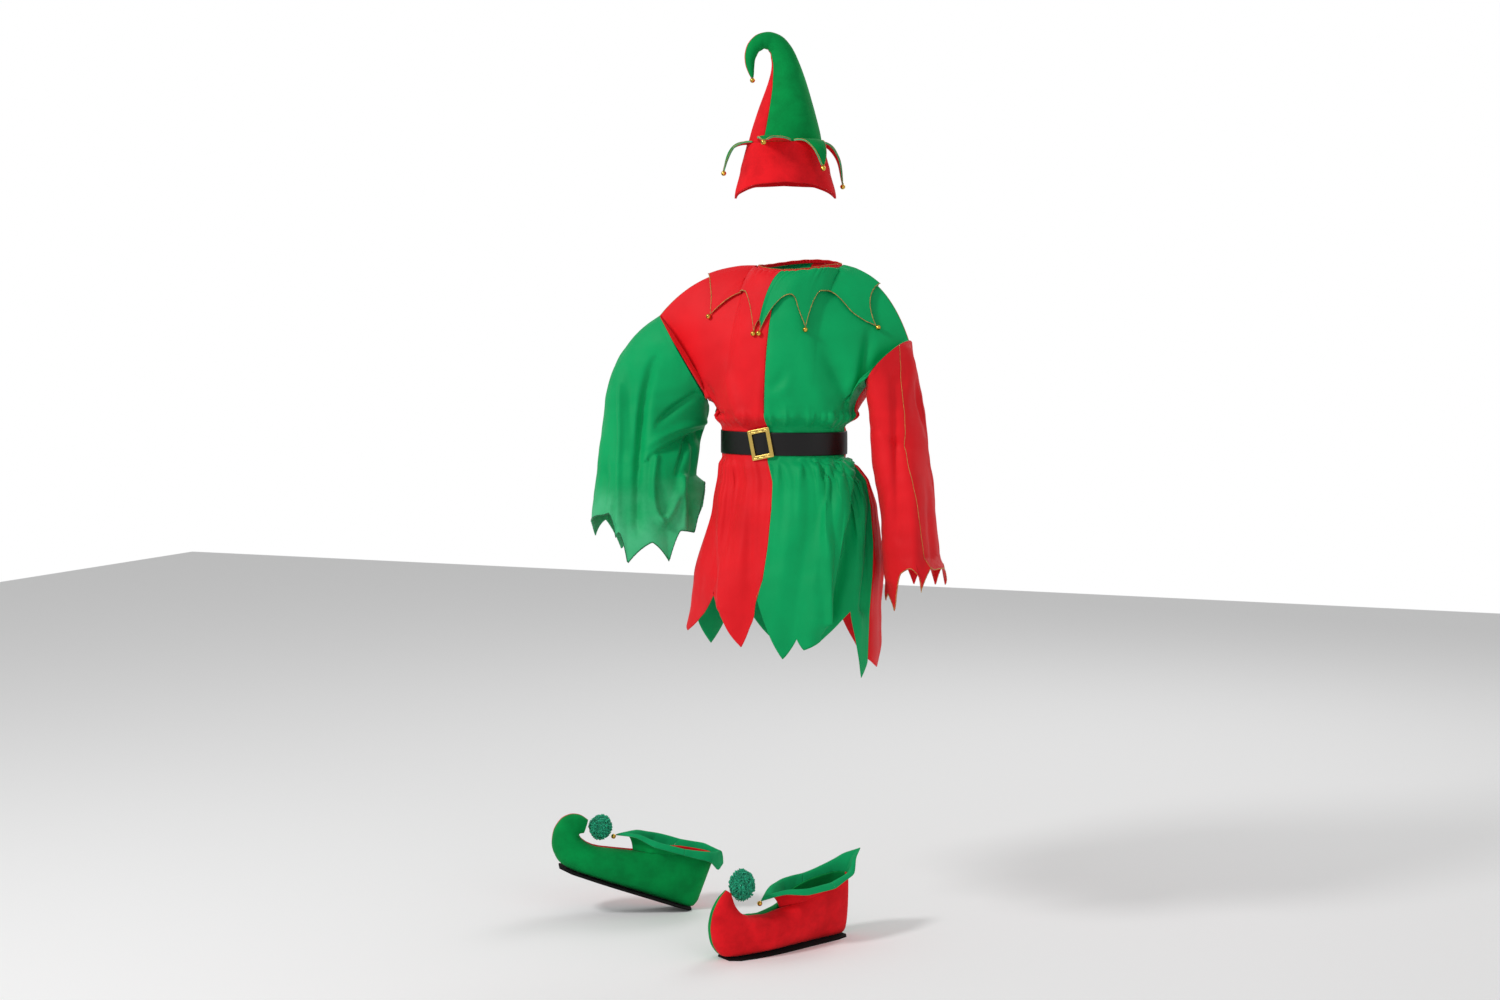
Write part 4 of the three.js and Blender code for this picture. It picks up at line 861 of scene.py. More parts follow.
SLEEVE_CREASES = {
    "left": (
        (199, 1196, 202, 1045, 202, 875, 9, 12, -5, 0.6, 0.3),
        (246, 1184, 258, 1131, 269, 1077, 5, 8, -4, 0.4, 0.3),
        (225, 1060, 236, 930, 240, 790, 14, 18, 5, 0, 0.9),
        (266, 1000, 276, 900, 286, 800, 9, 9, -4, 0, 0.9),
        (170, 1090, 205, 1062, 250, 1052, 7, 14, -3.5, 0.3, 0.2),
        (186, 950, 184, 880, 190, 780, 6, 9, 3, 0.2, 0.8),
        (236, 1250, 232, 1200, 224, 1120, 10, 14, 3, 0.2, 0.2),
    ),
    "right": (
        (-300, 1226, -325, 1100, -334, 880, 8, 12, -8, 0.3, 0.6),
        (-372, 1173, -370, 1054, -374, 890, 5, 6, 3.5, 0.4, 0.7),
        (-166, 1096, -240, 1082, -310, 1046, 9, 6, 4, 0.6, 0.3),
        (-170, 1078, -240, 1060, -306, 1024, 4, 22, -8, 0.8, 0.3),
        (-210, 1155, -262, 1121, -292, 1091, 6, 10, -5, 0.5, 0.3),
        (-218, 1066, -233, 1035, -248, 990, 5, 6, -5, 0.6, 0.3),
        (-214, 1066, -214, 1016, -220, 975, 5, 5, -4, 0.6, 0.3),
        (-292, 1024, -297, 940, -280, 892, 7, 8, 6, 0.7, 0.7),
        (-280, 892, -262, 905, -233, 980, 7, 8, 5, 0.8, 0.7),
        (-239, 980, -236, 930, -233, 877, 6, 7, 5, 0.6, 0.6),
        (-352, 1210, -350, 1130, -345, 1040, 12, 10, -3, 0.2, 0.4),
        (-398, 1060, -402, 980, -406, 900, 9, 9, -4, 0.2, 0.8),
    ),
}
SLEEVE_BACK_CREASES = {
    "left": (
        (180, 1120, 210, 1070, 250, 1060, 8, 14, -4, 0.3, 0.4),
        (214, 1040, 212, 920, 206, 800, 10, 12, -5, 0.2, 0.8),
        (252, 1020, 256, 920, 262, 800, 12, 10, 5, 0.1, 0.8),
        (236, 1240, 232, 1170, 230, 1090, 9, 12, -3, 0.2, 0.4),
    ),
    "right": (
        (-210, 1160, -260, 1110, -320, 1080, 8, 16, -6, 0.4, 0.3),
        (-250, 1060, -262, 980, -270, 880, 9, 12, -6, 0.4, 0.7),
        (-310, 1080, -320, 980, -330, 880, 10, 12, 6, 0.2, 0.7),
        (-370, 1110, -372, 1000, -380, 900, 9, 10, -5, 0.3, 0.7),
        (-300, 1260, -330, 1210, -352, 1150, 12, 10, 4, 0.2, 0.4),
    ),
}


def arm_axis(hole):
    """Along the arm: square to the ring's long axis and its depth, pointing down."""
    long = turned(*hole["out"]) - turned(*hole["under"])
    axis = np.cross(long, depth_of(hole["depth"], hole["swing"]))
    return unit(-axis * np.sign(axis[2]))


def over_arm(hole, points):
    """1 on top of the arm and 0 at its sides and below, by the cosine round the armhole's axis."""
    top = turned(*hole["out"])
    middle = (top + turned(*hole["under"])) / 2
    axis = arm_axis(hole)
    out = points - middle
    radial = unit(out - (out @ axis)[..., None] * axis)
    return smoothstep(radial @ unit(top - middle), 0.2, 0.9)


def ring_at(row, angle):
    """A sleeve's ring at an angle from its outer edge over the front."""
    outer = turned(row["out"], row["forward"], row["out_height"])
    inner = turned(row["in"], row["forward"], row["in_height"])
    return ring_point(outer, inner, depth_of(row["depth"], row["swing"]), np.radians(angle))


# sheer_backlight: the rings over which the hem's painted backlight fades in.
SLEEVE = {"columns": 121, "rings": 100, "cuff": 24, "spacing": 2.4, "bow": -0.12, "sheer_backlight": (78, 128)}
SLEEVE_WAVES = ((130, 1.6, 60), (70, 0.9, 15), (45, 0.4, 100))


def sleeve_half(side, first, last, share):
    """Grid, normals and painted backlight on the hem of a sleeve's front or back half."""
    rows, hole = SLEEVES[side], ARMHOLE[side]
    degrees = np.linspace(first, last, SLEEVE["columns"])
    r, angle = np.meshgrid(np.linspace(0, rows["row"][-1], SLEEVE["rings"]), degrees, indexing="ij")
    soft = np.minimum(0.6, r)
    row = {k: read(rows, k, r, soft) for k in rows}
    upper = ring_at(row, angle)
    hole_ring = armhole_ring(hole, np.radians(degrees))
    away = mix(SLEEVE_SEAM["under"], SLEEVE_SEAM["over"], over_arm(hole, hole_ring))
    shift = hole_ring + arm_axis(hole) * away[:, None] - upper[0]
    upper = upper + shift * np.clip(1 - r, 0, 1)[..., None]
    t = np.linspace(0, 1, SLEEVE["cuff"])[1:, None, None]
    target = ring_at({k: np.full(degrees.shape, v, float) for k, v in CUFF_RINGS[side].items()}, degrees)
    target[:, 2] = bowed(CUFFS[side], "height", degrees, SLEEVE["bow"])
    lower = mix(upper[-1], target, t)
    grid = np.concatenate([upper, lower])
    normals = grid_normals(grid)
    middle = (upper[:, :1] + ring_at({k: v[:, :1] for k, v in row.items()}, angle[:, :1] + 180)) / 2
    normals = facing(normals, grid - np.concatenate([middle, np.repeat(middle[-1:], len(lower), 0)]))
    across, high = across_of(grid), grid[..., 2]
    rear = first >= 180
    pressed = creases(across, high, (SLEEVE_BACK_CREASES if rear else SLEEVE_CREASES)[side]) * share
    pressed += waves(across + first, high, SLEEVE_WAVES)
    ring = np.arange(len(grid))
    gather = 1.1 * np.cos(degrees / 4.2 + 1.3 * np.sin(degrees / 19)) * np.exp(-ring / 9)[:, None]
    edge = from_edges(SLEEVE["columns"], SLEEVE["spacing"])
    pressed = (pressed + gather) * smoothstep(edge, -4, 16) - seam_dip(edge)
    grid = grid + normals * (pressed * smoothstep(ring, 0, 8)[:, None])[..., None]
    part_seams(grid)
    # Painted backlight: the thin hem is painted paler towards its edge, standing in for light shining through
    # it.
    backlight_share = np.broadcast_to(smoothstep(ring, *SLEEVE["sheer_backlight"])[:, None], grid.shape[:2])
    return grid, facing(grid_normals(grid), normals), backlight_share


# Neck edge and collar
NECK_EDGE = {"height": 7, "lift": 0.95}
COLLAR_OFFSET = {"neck": 2.7, "hem": 5.2}  # outer face above the tunic
RIDGE_LIFT = 1.5  # more over the shoulder seam
PETALS = 10
PETAL_START = -18
COLLAR_PART = 0.3  # degrees by which each half stops short of the other
NECK_SWING = 16
COLLAR_PETALS = table(  # where each point leans, its length, and how fast each side falls to its notch
    "petal skew length before after",
    (0, -14.5, 1, 2, 2), (1, 10, 1, 2, 2), (2, 12, 1, 4, 2),
    (3, 0, 1, 2, 2), (4, 0, 1, 2, 2), (5, 0, 1, 2, 2),
    (6, 0, 1, 2, 2), (7, 0, 1, 2, 2), (8, -4, 0.86, 2, 6), (9, 11.5, 1, 1.3, 2),
)
NOTCH_REACH = np.array([0.9] + [0.6] * 9)
NOTCH_SKEW = np.array([0] * 9 + [14])
REACH = table(
    "angle column down",
    (0, 0, 0.6), (22, 1.4, 0.61), (38, 3, 0.61), (58, 6, 0.57), (76, 8.8, 0.48), (84, 9.5, 0.3), (90, 9.8, 0),
)


def neck_edge():
    """A closed band on the neckline, ruffled by two cosines that run round it."""
    middle = turned(NECKLINE["across"], 0, 0)
    up, share = band_grid(NECK_EDGE["height"], 0, 9, 720)
    a = share * 2 * np.pi
    ruffle = 0.8 * np.cos(84 * a + 2 * np.sin(5 * a)) + 0.35 * np.cos(31 * a)
    narrow = -0.3 - up * 0.5 - 0.7 + ruffle * smoothstep(up, -2, 6)
    fore_or_aft = np.where(np.cos(a) > 0, NECKLINE["front"], NECKLINE["back"])
    height = mix(fore_or_aft, NECKLINE["side"], np.sin(a) ** 2)
    height = height + NECK_EDGE["lift"] + up + 0.35 * np.sin(19 * a + 1) * up / NECK_EDGE["height"]
    grid = np.stack([
        middle[0] + (NECKLINE["half_width"] + narrow) * np.sin(a),
        middle[1] - (NECKLINE["half_depth"] + narrow) * np.cos(a),
        height,
    ], -1)
    return grid, facing(grid_normals(grid, True), grid * [1, 1, 0] - middle)


def collar_point(angle, t, lift):
    """A point over the yoke at an angle round the neck, t of the way out to the reach."""
    wrapped = (angle + 540) % 360 - 180
    sign = np.where(wrapped < 0, -1, 1)
    a = np.abs(wrapped)
    rear = a > 90
    quarter = np.where(rear, 180 - a, a)
    c = mix(quarter / 90 * NECK_COLUMNS, read(REACH, "column", quarter, 3), t)
    column = sign * np.where(rear, 2 * QUARTER - c, c)
    down = mix(0.02, read(REACH, "down", quarter, np.minimum(3, 90 - quarter)), t)
    step = 0.02
    point = yoke_point(column, down)
    side = yoke_point(column + step, down) - yoke_point(column - step, down)
    drop = yoke_point(column, down + step) - yoke_point(column, np.maximum(down - step, 0))
    normal = unit(np.cross(drop, side))
    normal[..., 1] *= 1 - smoothstep(quarter, 82, 90)
    normal = unit(normal)
    raised = lift + RIDGE_LIFT * smoothstep(quarter, 66, 84)
    return point + normal * raised[..., None], normal


def petal_reach(k, share):
    """How far out the collar's edge is: a power of the way from a point to the notch beside it."""
    beside = np.where(share < 0, k, k + 1) % PETALS
    power = np.where(share < 0, COLLAR_PETALS["before"][k], COLLAR_PETALS["after"][k])
    return mix(COLLAR_PETALS["length"][k], NOTCH_REACH[beside], 1 - (1 - np.abs(share)) ** power)


def petal_angle(k, share, t):
    """Angle round the neck of a petal's line, t of the way out."""
    angle = PETAL_START + (k + 0.5 + share / 2) * (360 / PETALS)
    front = np.abs((angle + 180) % 360 - 180)
    swing = NECK_SWING * (1 - t) * (1 - smoothstep(front, 12, 74))
    beside = np.where(share < 0, k, k + 1) % PETALS
    return angle + swing + mix(COLLAR_PETALS["skew"][k], NOTCH_SKEW[beside], np.abs(share)) * t


def collar_half(first):
    """Five petals of a collar colour as one grid from the neck to the pointed edge."""
    station = np.linspace(0, PETALS // 2, 181)
    k = np.minimum(station.astype(int), PETALS // 2 - 1) + first
    share = (station - (k - first)) * 2 - 1
    t, share = np.meshgrid(np.linspace(0, 1, 40), share, indexing="ij")
    k = np.broadcast_to(k, t.shape)
    inset = np.zeros(t.shape)
    inset[:, 0], inset[:, -1] = COLLAR_PART, -COLLAR_PART
    reach = petal_reach(k, share) * t
    lift = mix(COLLAR_OFFSET["neck"], COLLAR_OFFSET["hem"], np.minimum(3 * t, 1))
    pleats = 3.1 * np.abs(np.cos(station * 11 + 2 * np.sin(station * 3))) ** 0.7
    pleats = pleats * np.exp(-((t / (0.28 + 0.12 * np.sin(station * 5))) ** 2)) * smoothstep(t, 0, 0.08)
    drape = 1.5 * np.cos(station * 2 * np.pi + 0.8 * np.sin(station * 1.7)) * smoothstep(t, 0.2, 0.9)
    return collar_point(petal_angle(k, share, reach) + inset, reach, lift + pleats + drape + 0.6)


def collar_tips():
    """Where the bells of the collar hang: past each point, and clear of the cloth."""
    k = np.arange(PETALS)
    length = COLLAR_PETALS["length"]
    tip, normal = collar_point(petal_angle(k, np.zeros(PETALS), length), length, 0.0)
    before, _ = collar_point(petal_angle(k, np.zeros(PETALS), length - 0.05), length - 0.05, 0.0)
    return tip, unit(tip - before), normal


# Belt and buckle
BELT = {"low": 1033, "high": 1081, "thick": 2.4, "clear": 0.45}
BUCKLE = {"width": 51, "height": 63, "bar": 9, "thick": 3, "tilt": 12, "angle": -5.5, "gap": 0.35}
WAIST = (-24, 135, 93)  # across, half width and half depth


def waist_point(angle, height, out):
    """A point this far out from the waist."""
    return section_point(np.array(WAIST[0]), *WAIST[1:], angle, height, out)


def belt_strap():
    """A strap round the waist, a little thinner at its edges, with slow slack waves; it stands proud
    where it is drawn through the buckle."""
    down, share = band_grid(0, 1, 19, 480)
    angle = share * 360
    wrapped = (angle + 180) % 360 - 180
    edge = np.abs(2 * down - 1) ** 6
    a = np.radians(angle)
    slack = 0.3 * np.sin(a * 7 + down * 2) + 0.2 * np.sin(a * 17 + down * 3)
    through = smoothstep(10.5 - np.abs((wrapped - BUCKLE["angle"]) * 1.9 - 0.6 * (2 * down - 1)), 0, 6)
    thick = BELT["thick"] - 0.5 * edge + slack * 0.6 + 1.1 * through
    grid = waist_point(angle, mix(BELT["high"], BELT["low"], down), BELT["clear"] + thick)
    normals = facing(grid_normals(grid, True), grid * [1, 1, 0] - turned(WAIST[0], 0, 0))
    return grid, normals, thick


CORNER = (0.42, 0.58)  # where a corner begins and ends in its quarter of the outline


def rounded_rectangle(width, height, radius, count=440):
    """Outline points, the same share of it on each side and corner for every size."""
    t = np.arange(count) / count * 4
    k = t.astype(int)
    s = t - k
    begin, end = CORNER
    corner = np.clip((s - begin) / (end - begin), 0, 1) * np.pi / 2
    run = np.where(s < begin, s / begin, np.where(s > end, (s - end) / begin, 0))
    turn = np.radians(90) * k
    # One corner in its own quarter: up the right side, round, and back along the top.
    hx = np.where(k % 2 == 0, width, height) / 2
    hy = np.where(k % 2 == 0, height, width) / 2
    back, round_x = (hx - radius) * (1 - run), hx - radius + radius * np.cos(corner)
    rise, round_y = (hy - radius) * run, hy - radius + radius * np.sin(corner)
    x = np.where(s < begin, hx, np.where(s > end, back, round_x))
    y = np.where(s < begin, rise, np.where(s > end, hy, round_y))
    return np.stack([x * np.cos(turn) - y * np.sin(turn), x * np.sin(turn) + y * np.cos(turn)], -1)


def buckle_frame():
    """A pressed frame: profiles between its inner and outer outline, domed in front and flat behind,
    with a wave cut into the bars above and below."""
    width, height, bar, thick = (BUCKLE[k] for k in ("width", "height", "bar", "thick"))
    outer = rounded_rectangle(width, height, 2.2)
    inner = rounded_rectangle(width - 2 * bar, height - 2 * bar, 1.2)
    s = np.concatenate([np.linspace(0, 1, 27), np.linspace(1, 0, 5)[1:-1]])
    front = np.arange(len(s)) < 27
    flat = mix(inner[None], outer[None], s[:, None, None])
    dome = (1 - np.abs(2 * s - 1) ** 5) * 0.9
    x, y = flat[..., 0], flat[..., 1]
    wave = np.abs(np.abs(y) - (height / 2 - bar * 0.52) - 0.9 * np.cos(x * 2 * np.pi / 15))
    engraved = (np.abs(x) < width / 2 - bar * 0.55) * (np.abs(y) > height / 2 - bar)
    cut = np.exp(-((wave / 0.55) ** 2)) * engraved
    rise = np.where(front, thick - 0.9 + dome, 0)[:, None] - np.where(front, 0.5, 0)[:, None] * cut
    a = math.radians(BUCKLE["tilt"])
    side, up = x * math.cos(a) - y * math.sin(a), x * math.sin(a) + y * math.cos(a)
    seat = waist_point(np.array(BUCKLE["angle"]), (BELT["low"] + BELT["high"]) / 2,
                       BELT["clear"] + BELT["thick"] + BUCKLE["gap"])
    b = math.radians(BUCKLE["angle"])
    points = seat + np.stack(
        [side * math.cos(b) + rise * math.sin(b), side * math.sin(b) - rise * math.cos(b), up], -1)
    faces, _ = quads_of(len(s) + 1, outer.shape[0], True)
    dark = (cut > 0.35).ravel()
    faces = faces % dark.size
    return points.reshape(-1, 3), faces, dark[faces].mean(1) > 0.5


# Hat
CONE = table(
    "row across height radius lean seam",
    (0, -22, 1676, 77, 0, 53), (1, -20, 1700, 72, 0, 53), (2, -18, 1745, 59, 0, 50),
    (3, -17, 1790, 44, 0, 43), (4, -20, 1830, 31, 10, 28), (5, -28, 1862, 24.5, 25, 15),
    (6, -40, 1882, 20.5, 45, 5),
    (7, -58, 1890, 18, 80, -5), (8, -76, 1886, 16.5, 115, -12), (9, -89, 1873, 14.5, 145, -18),
    (10, -95, 1856, 12, 168, -20), (11, -95, 1838, 9.5, 185, -20), (12, -92, 1822, 6, 190, -20),
    (13, -90, 1813, 3, 190, -20),
)
BRIM = table("height radius", (1625, 93), (1650, 86), (1675.6, 79))
BRIM_ACROSS = -22
BRIM_EDGE = table(
    "angle height radius", (0, 1592, 97), (40, 1588, 99), (70, 1574, 103), (88, 1562, 106),
    (106, 1574, 104), (140, 1592, 100), (180, 1596, 98),
)
HAT_PETALS = (  # angle, rise, reach, drop, width
    (-84, 4, 50, 58, 62), (-18, 10, 66, 6, 66), (38, 8, 46, 54, 64),
    (96, 2, 44, 84, 62), (156, 6, 48, 62, 62), (216, 6, 48, 62, 62),
)
PETAL_ROOT = {"radius": 78.4, "height": 1679}
TIP_ACROSS = -89.5  # where the bell of the hat's tip hangs


def cone_half(first):
    """Half the cone: rings whose middle follows the curl and that lean with it; small folds cross it
    where it bends."""
    last = CONE["row"][-1]
    row, share = np.meshgrid(np.linspace(0, last, 150), np.linspace(first, first + 0.5, 73), indexing="ij")
    soft = np.minimum(0.5, np.minimum(row, last - row))
    across, height, radius, lean, seam = (
        read(CONE, k, row, soft) for k in ("across", "height", "radius", "lean", "seam")
    )
    angle = np.radians(seam) + share * 2 * np.pi
    bend = np.exp(-(((row - 7) / 3) ** 2))
    folds = 0.7 * bend * np.cos(row * 5.2 + 1.5 * np.sin(row)) * (0.5 + 0.5 * np.cos(angle))
    soft_waves = 1.3 * np.sin(angle * 3 + row * 0.9) * np.exp(-(((row - 2) / 2) ** 2))
    edge = np.minimum(share - first, first + 0.5 - share) * 2 * np.pi * radius
    r = radius + folds + soft_waves - np.minimum(1.0, radius * 0.05) * np.exp(-((edge / 2.4) ** 2))
    out = -r * np.cos(angle)
    a = np.radians(lean)
    grid = turned(across + out * np.cos(a), r * np.sin(angle), height + out * np.sin(a))
    middle = turned(across, 0, height)
    normals = facing(grid_normals(grid), grid - middle)
    part_seams(grid)
    return grid, normals, np.minimum(4, radius * 0.55)


def brim_ring():
    """The turned-up band: rings that widen downwards to an edge with a point at each side."""
    down, share = band_grid(0, 1, 44, 400)
    a = share * 2 * np.pi
    degrees = np.degrees(a)
    side = np.where(degrees > 180, 360 - degrees, degrees)
    edge_height, edge_radius = (read(BRIM_EDGE, k, side, 6) for k in ("height", "radius"))
    low, top = BRIM["height"][[0, -1]]
    level = np.minimum(down * (top - edge_height), top - low)
    height = mix(top, edge_height, down)
    radius = mix(read(BRIM, "radius", top - level), edge_radius, smoothstep(down, 0.45, 1) ** 0.9)
    radius = radius + 1.0 * np.sin(5 * a + 1) * down + 0.5 * np.sin(13 * a) * down
    grid = turned(BRIM_ACROSS + radius * np.sin(a), radius * 1.04 * np.cos(a), height)
    return grid, facing(grid_normals(grid, True), grid - turned(BRIM_ACROSS, 0, 0) * [1, 1, 0] - [0, 0, 1640])


def hat_place(turn, out, side, height):
    """A point of a petal on the brim's curve: out from the middle, aside along the curve."""
    bend = np.sqrt(np.maximum(out * out - side * side, 1))
    return turned(
        BRIM_ACROSS + bend * math.sin(turn) + side * math.cos(turn),
        (bend * math.cos(turn) - side * math.sin(turn)) * 1.03,
        height,
    )


def petal_path(rise, reach, drop, t):
    """The middle line of a hat petal: a quadratic curve out from the join and down."""
    radius, height = PETAL_ROOT["radius"], PETAL_ROOT["height"]
    points = [(radius, height), (radius + reach * 0.8, height + rise), (radius + reach, height - drop)]
    return bezier(*map(np.array, points), t)


def hat_petal(angle, rise, reach, drop, width):
    """A leaf: its half width falls by a power of the way out, and it is cupped along its middle."""
    turn = math.radians(angle)
    t = np.linspace(0, 1, 40)
    path = petal_path(rise, reach, drop, t)
    half = width / 2 * (1 - t) ** 0.75 + 2.2
    w = np.linspace(-1, 1, 33)
    grid = hat_place(turn, path[:, :1], w * half[:, None], path[:, 1:])
    upwards = np.array([0, 0, 1.0]) + turned(math.sin(turn), math.cos(turn), 0) * 0.6
    normals = facing(grid_normals(grid), upwards)
    cup = 2.4 * (1 - np.abs(w) ** 1.6) * np.sin(np.pi * t ** 0.8)[:, None]
    curl = 1.2 * np.abs(w) ** 4 * smoothstep(t, 0.1, 0.6)[:, None] * np.sin(t * 9 + angle)[:, None]
    grid = grid + normals * (cup + curl)[..., None]
    tip = hat_place(turn, path[-1, 0], np.zeros(()), path[-1, 1])
    before = petal_path(rise, reach, drop, np.array(0.95))
    along = unit(path[-1] - before)
    under = np.array([along[1], -along[0]])
    return grid, facing(grid_normals(grid), normals), tip, path[-1], along, under


# Shoe covers, in a frame of their own: +X from the heel to the toe and +Z up
SHOE = table(
    "row low low_height top top_height half reach",
    (0, -3, 24, -4, 134, 0, 0.62), (1, 2, 9, 1, 133, 15, 0.62), (2, 14, 3.4, 12, 131, 28, 0.6),
    (3, 40, 3.4, 38, 126, 36, 0.6), (4, 75, 3.4, 72, 120, 39, 0.6), (5, 112, 3.4, 105, 110, 42, 0.64),
    (6, 150, 3.4, 140, 98, 46, 0.8), (7, 188, 3.4, 172, 86, 49, 1), (8, 228, 3.4, 212, 77, 50, 1),
)
TOES = {
    "left": table(
        "row low low_height top top_height half reach",
        (9, 266, 3.4, 240, 80, 47, 1), (10, 298, 3.4, 262, 82, 41, 1), (11, 326, 7, 280, 92, 34, 1),
        (12, 345, 32, 290, 104, 28, 1), (13, 352, 67, 296, 115, 24, 1), (14, 346, 100, 299, 124, 19, 1),
        (15, 330, 127, 300, 130, 13, 1), (16, 312, 143, 300, 134, 7, 1),
    ),
    "right": table(
        "row low low_height top top_height half reach",
        (9, 290, 3.4, 254, 68, 47, 1), (10, 326, 12, 276, 69, 42, 1), (11, 350, 38, 291, 74, 36, 1),
        (12, 358, 74, 298, 79, 30, 1), (13, 350, 104, 300, 82, 26, 1), (14, 333, 120, 299, 85, 21, 1),
        (15, 312, 125, 296, 86, 16, 1), (16, 292, 119, 291, 88, 10, 1),
    ),
}
RIM_SEAT = -1.0  # the flaps' roots below the rim
RIM = slice(0, 8)  # the rows of SHOE round the foot opening
FLAP_ROWS, FLAP_COLUMNS = 30, 97
FAR_LINING = 3  # the material slot of a flap's inner face past the shoe's middle
FLAP_FRONT = (
    (0, 192, 0, 134, 222, 0, 106), (22, 166, 26, 146, 184, 31, 121), (45, 128, 46, 150, 140, 56, 117),
    (90, 72, 50, 147, 72, 59, 121),
)
FLAP_NAMES = "angle crest crest_side crest_height edge edge_side edge_height"
FLAPS = {
    "left": table(
        FLAP_NAMES, *FLAP_FRONT, (135, 22, 39, 157, 12, 49, 141), (160, 0, 18, 164, -14, 22, 170),
        (180, -14, 0, 172, -42, 0, 182),
    ),
    "right": table(
        FLAP_NAMES, *FLAP_FRONT, (135, 24, 42, 158, 8, 52, 124), (160, 2, 22, 164, -18, 28, 106),
        (180, -14, 0, 164, -30, 0, 120),
    ),
}
SHOES = (
    {
        "name": "left", "heel": (108, -10, 0), "heading": 36, "pitch": 0, "near": "felt_red",
        "far": "felt_green", "pompom": (271, 0, 148), "stretch": (0.9, 0.92, 1.12)},
    {
        "name": "right", "heel": (-222, -205, -2), "heading": 8, "pitch": -20, "near": "felt_green",
        "far": "felt_red", "pompom": (260, 0, 112), "stretch": (0.88, 0.92, 0.95)},
)
SHOE_BELL_PLACE = np.array([225.6, 0, 101.3])


def shoe_placed(shoe, points):
    """From the shoe's own frame to the costume's: pitched about Y, turned about Z and moved to its heel."""
    pitch, toe = math.radians(shoe["pitch"]), math.pi + TURN + math.radians(shoe["heading"])
    x = points[..., 0] * math.cos(pitch) + points[..., 2] * math.sin(pitch)
    z = points[..., 2] * math.cos(pitch) - points[..., 0] * math.sin(pitch)
    y = points[..., 1]
    moved = np.stack([x * math.cos(toe) - y * math.sin(toe), x * math.sin(toe) + y * math.cos(toe), z], -1)
    return moved + turned(*shoe["heel"])


def shoe_side(shoe, sign):
    """One side: half rings from the sole's middle to the rim, their half width by the sine to the 0.75."""
    rows = {k: np.concatenate([SHOE[k], TOES[shoe["name"]][k]]) for k in SHOE}
    last = rows["row"][-1]
    row, e = np.meshgrid(np.linspace(0, last, 170), np.linspace(0, 1, 61), indexing="ij")
    soft = np.minimum(0.5, np.minimum(row, last - row))
    low, low_z, top, top_z, half, reach = (
        read(rows, k, row, soft) for k in ("low", "low_height", "top", "top_height", "half", "reach")
    )
    beta = e * reach * np.pi
    up = (1 - np.cos(beta)) / (1 - np.cos(reach * np.pi))
    dents = 0.9 * np.sin(row * 1.7 + 3 * e) * np.sin(np.pi * e) * smoothstep(row, 4, 8)
    puckers = 0.8 * np.exp(-(((row - 9.8) / 1.4) ** 2)) * np.cos(row * 9) * smoothstep(e, 0.6, 0.95)
    uneven = (dents + puckers) * np.minimum(half / 20, 1)
    width = np.maximum(half * np.maximum(np.sin(beta), 0) ** 0.75 + uneven, 0)
    x = mix(low, top, up)
    z = mix(low_z, top_z, up)
    grid = np.stack([x, sign * (width + SEAM / 2), z], -1)
    normals = facing(grid_normals(grid), np.array([0, sign, 0]))
    normals[:, 0, 1] = 0
    normals[0, :, 1] = 0
    closed = reach[:, 0] > 0.999
    normals[closed, -1, 1] = 0
    thick = np.where(reach < 0.999, 3, np.minimum(3, half * 0.3))
    return grid, unit(normals), np.maximum(thick, 0.6)


def flap_grid(flap, first, last):
    """A flap round the foot opening: quadratic curves from the rim over a crest to the free edge."""
    degrees = np.linspace(first, last, FLAP_COLUMNS)
    wrapped = np.where(degrees > 180, degrees - 360, degrees)
    a, sign = np.abs(wrapped), np.sign(wrapped)
    sign[sign == 0] = 1
    soft = np.minimum(7, np.minimum(a, 180 - a))
    row = {k: read(flap, k, a, soft) for k in flap}
    top, top_height, half, reach = (SHOE[k][RIM] for k in ("top", "top_height", "half", "reach"))
    side = half * np.maximum(np.sin(reach * np.pi), 0) ** 0.75
    x = mix(top[0], top[-1], (1 + np.cos(np.radians(wrapped))) / 2)
    rim_side, rim_height = np.interp(x, top, side), np.interp(x, top, top_height)
    start = np.stack([x, np.sign(wrapped) * rim_side, rim_height + RIM_SEAT], -1)
    crest = np.stack([row["crest"], sign * row["crest_side"], row["crest_height"]], -1)
    end = np.stack([row["edge"], sign * row["edge_side"], row["edge_height"]], -1)
    t = np.linspace(0, 1, FLAP_ROWS)[:, None]
    grid = bezier(start, crest, end, np.broadcast_to(t, (FLAP_ROWS, FLAP_COLUMNS)))
    inwards = (np.array([90, 0, 0]) - grid) * [0.01, 0.01, 0]
    normals = facing(grid_normals(grid), np.array([0, 0, 1.0]) + inwards)
    swell = 1.1 * np.sin(np.radians(degrees) * 5 + 1) * smoothstep(t, 0.2, 0.9)
    return grid + normals * swell[..., None], normals


def line_far_side(piece, grid):
    """Gives the inner faces of a flap past the shoe's middle the far side's lining."""
    faces = (FLAP_ROWS - 1) * (FLAP_COLUMNS - 1)
    slots = np.zeros(len(piece.data.polygons), np.int32)
    piece.data.polygons.foreach_get("material_index", slots)
    far = grid[0, np.arange(faces) % (FLAP_COLUMNS - 1) + 1, 1] < 0
    slots[faces : 2 * faces][far] = FAR_LINING
    piece.data.polygons.foreach_set("material_index", slots)


YARN = {
    "strands": 1250, "points": 11, "thick": (1.5, 1.2), "turns": (7, 11), "curl": (1.6, 3.2),
    "spread": 0.08, "root": 0.45, "reach": (0.84, 1.04)}


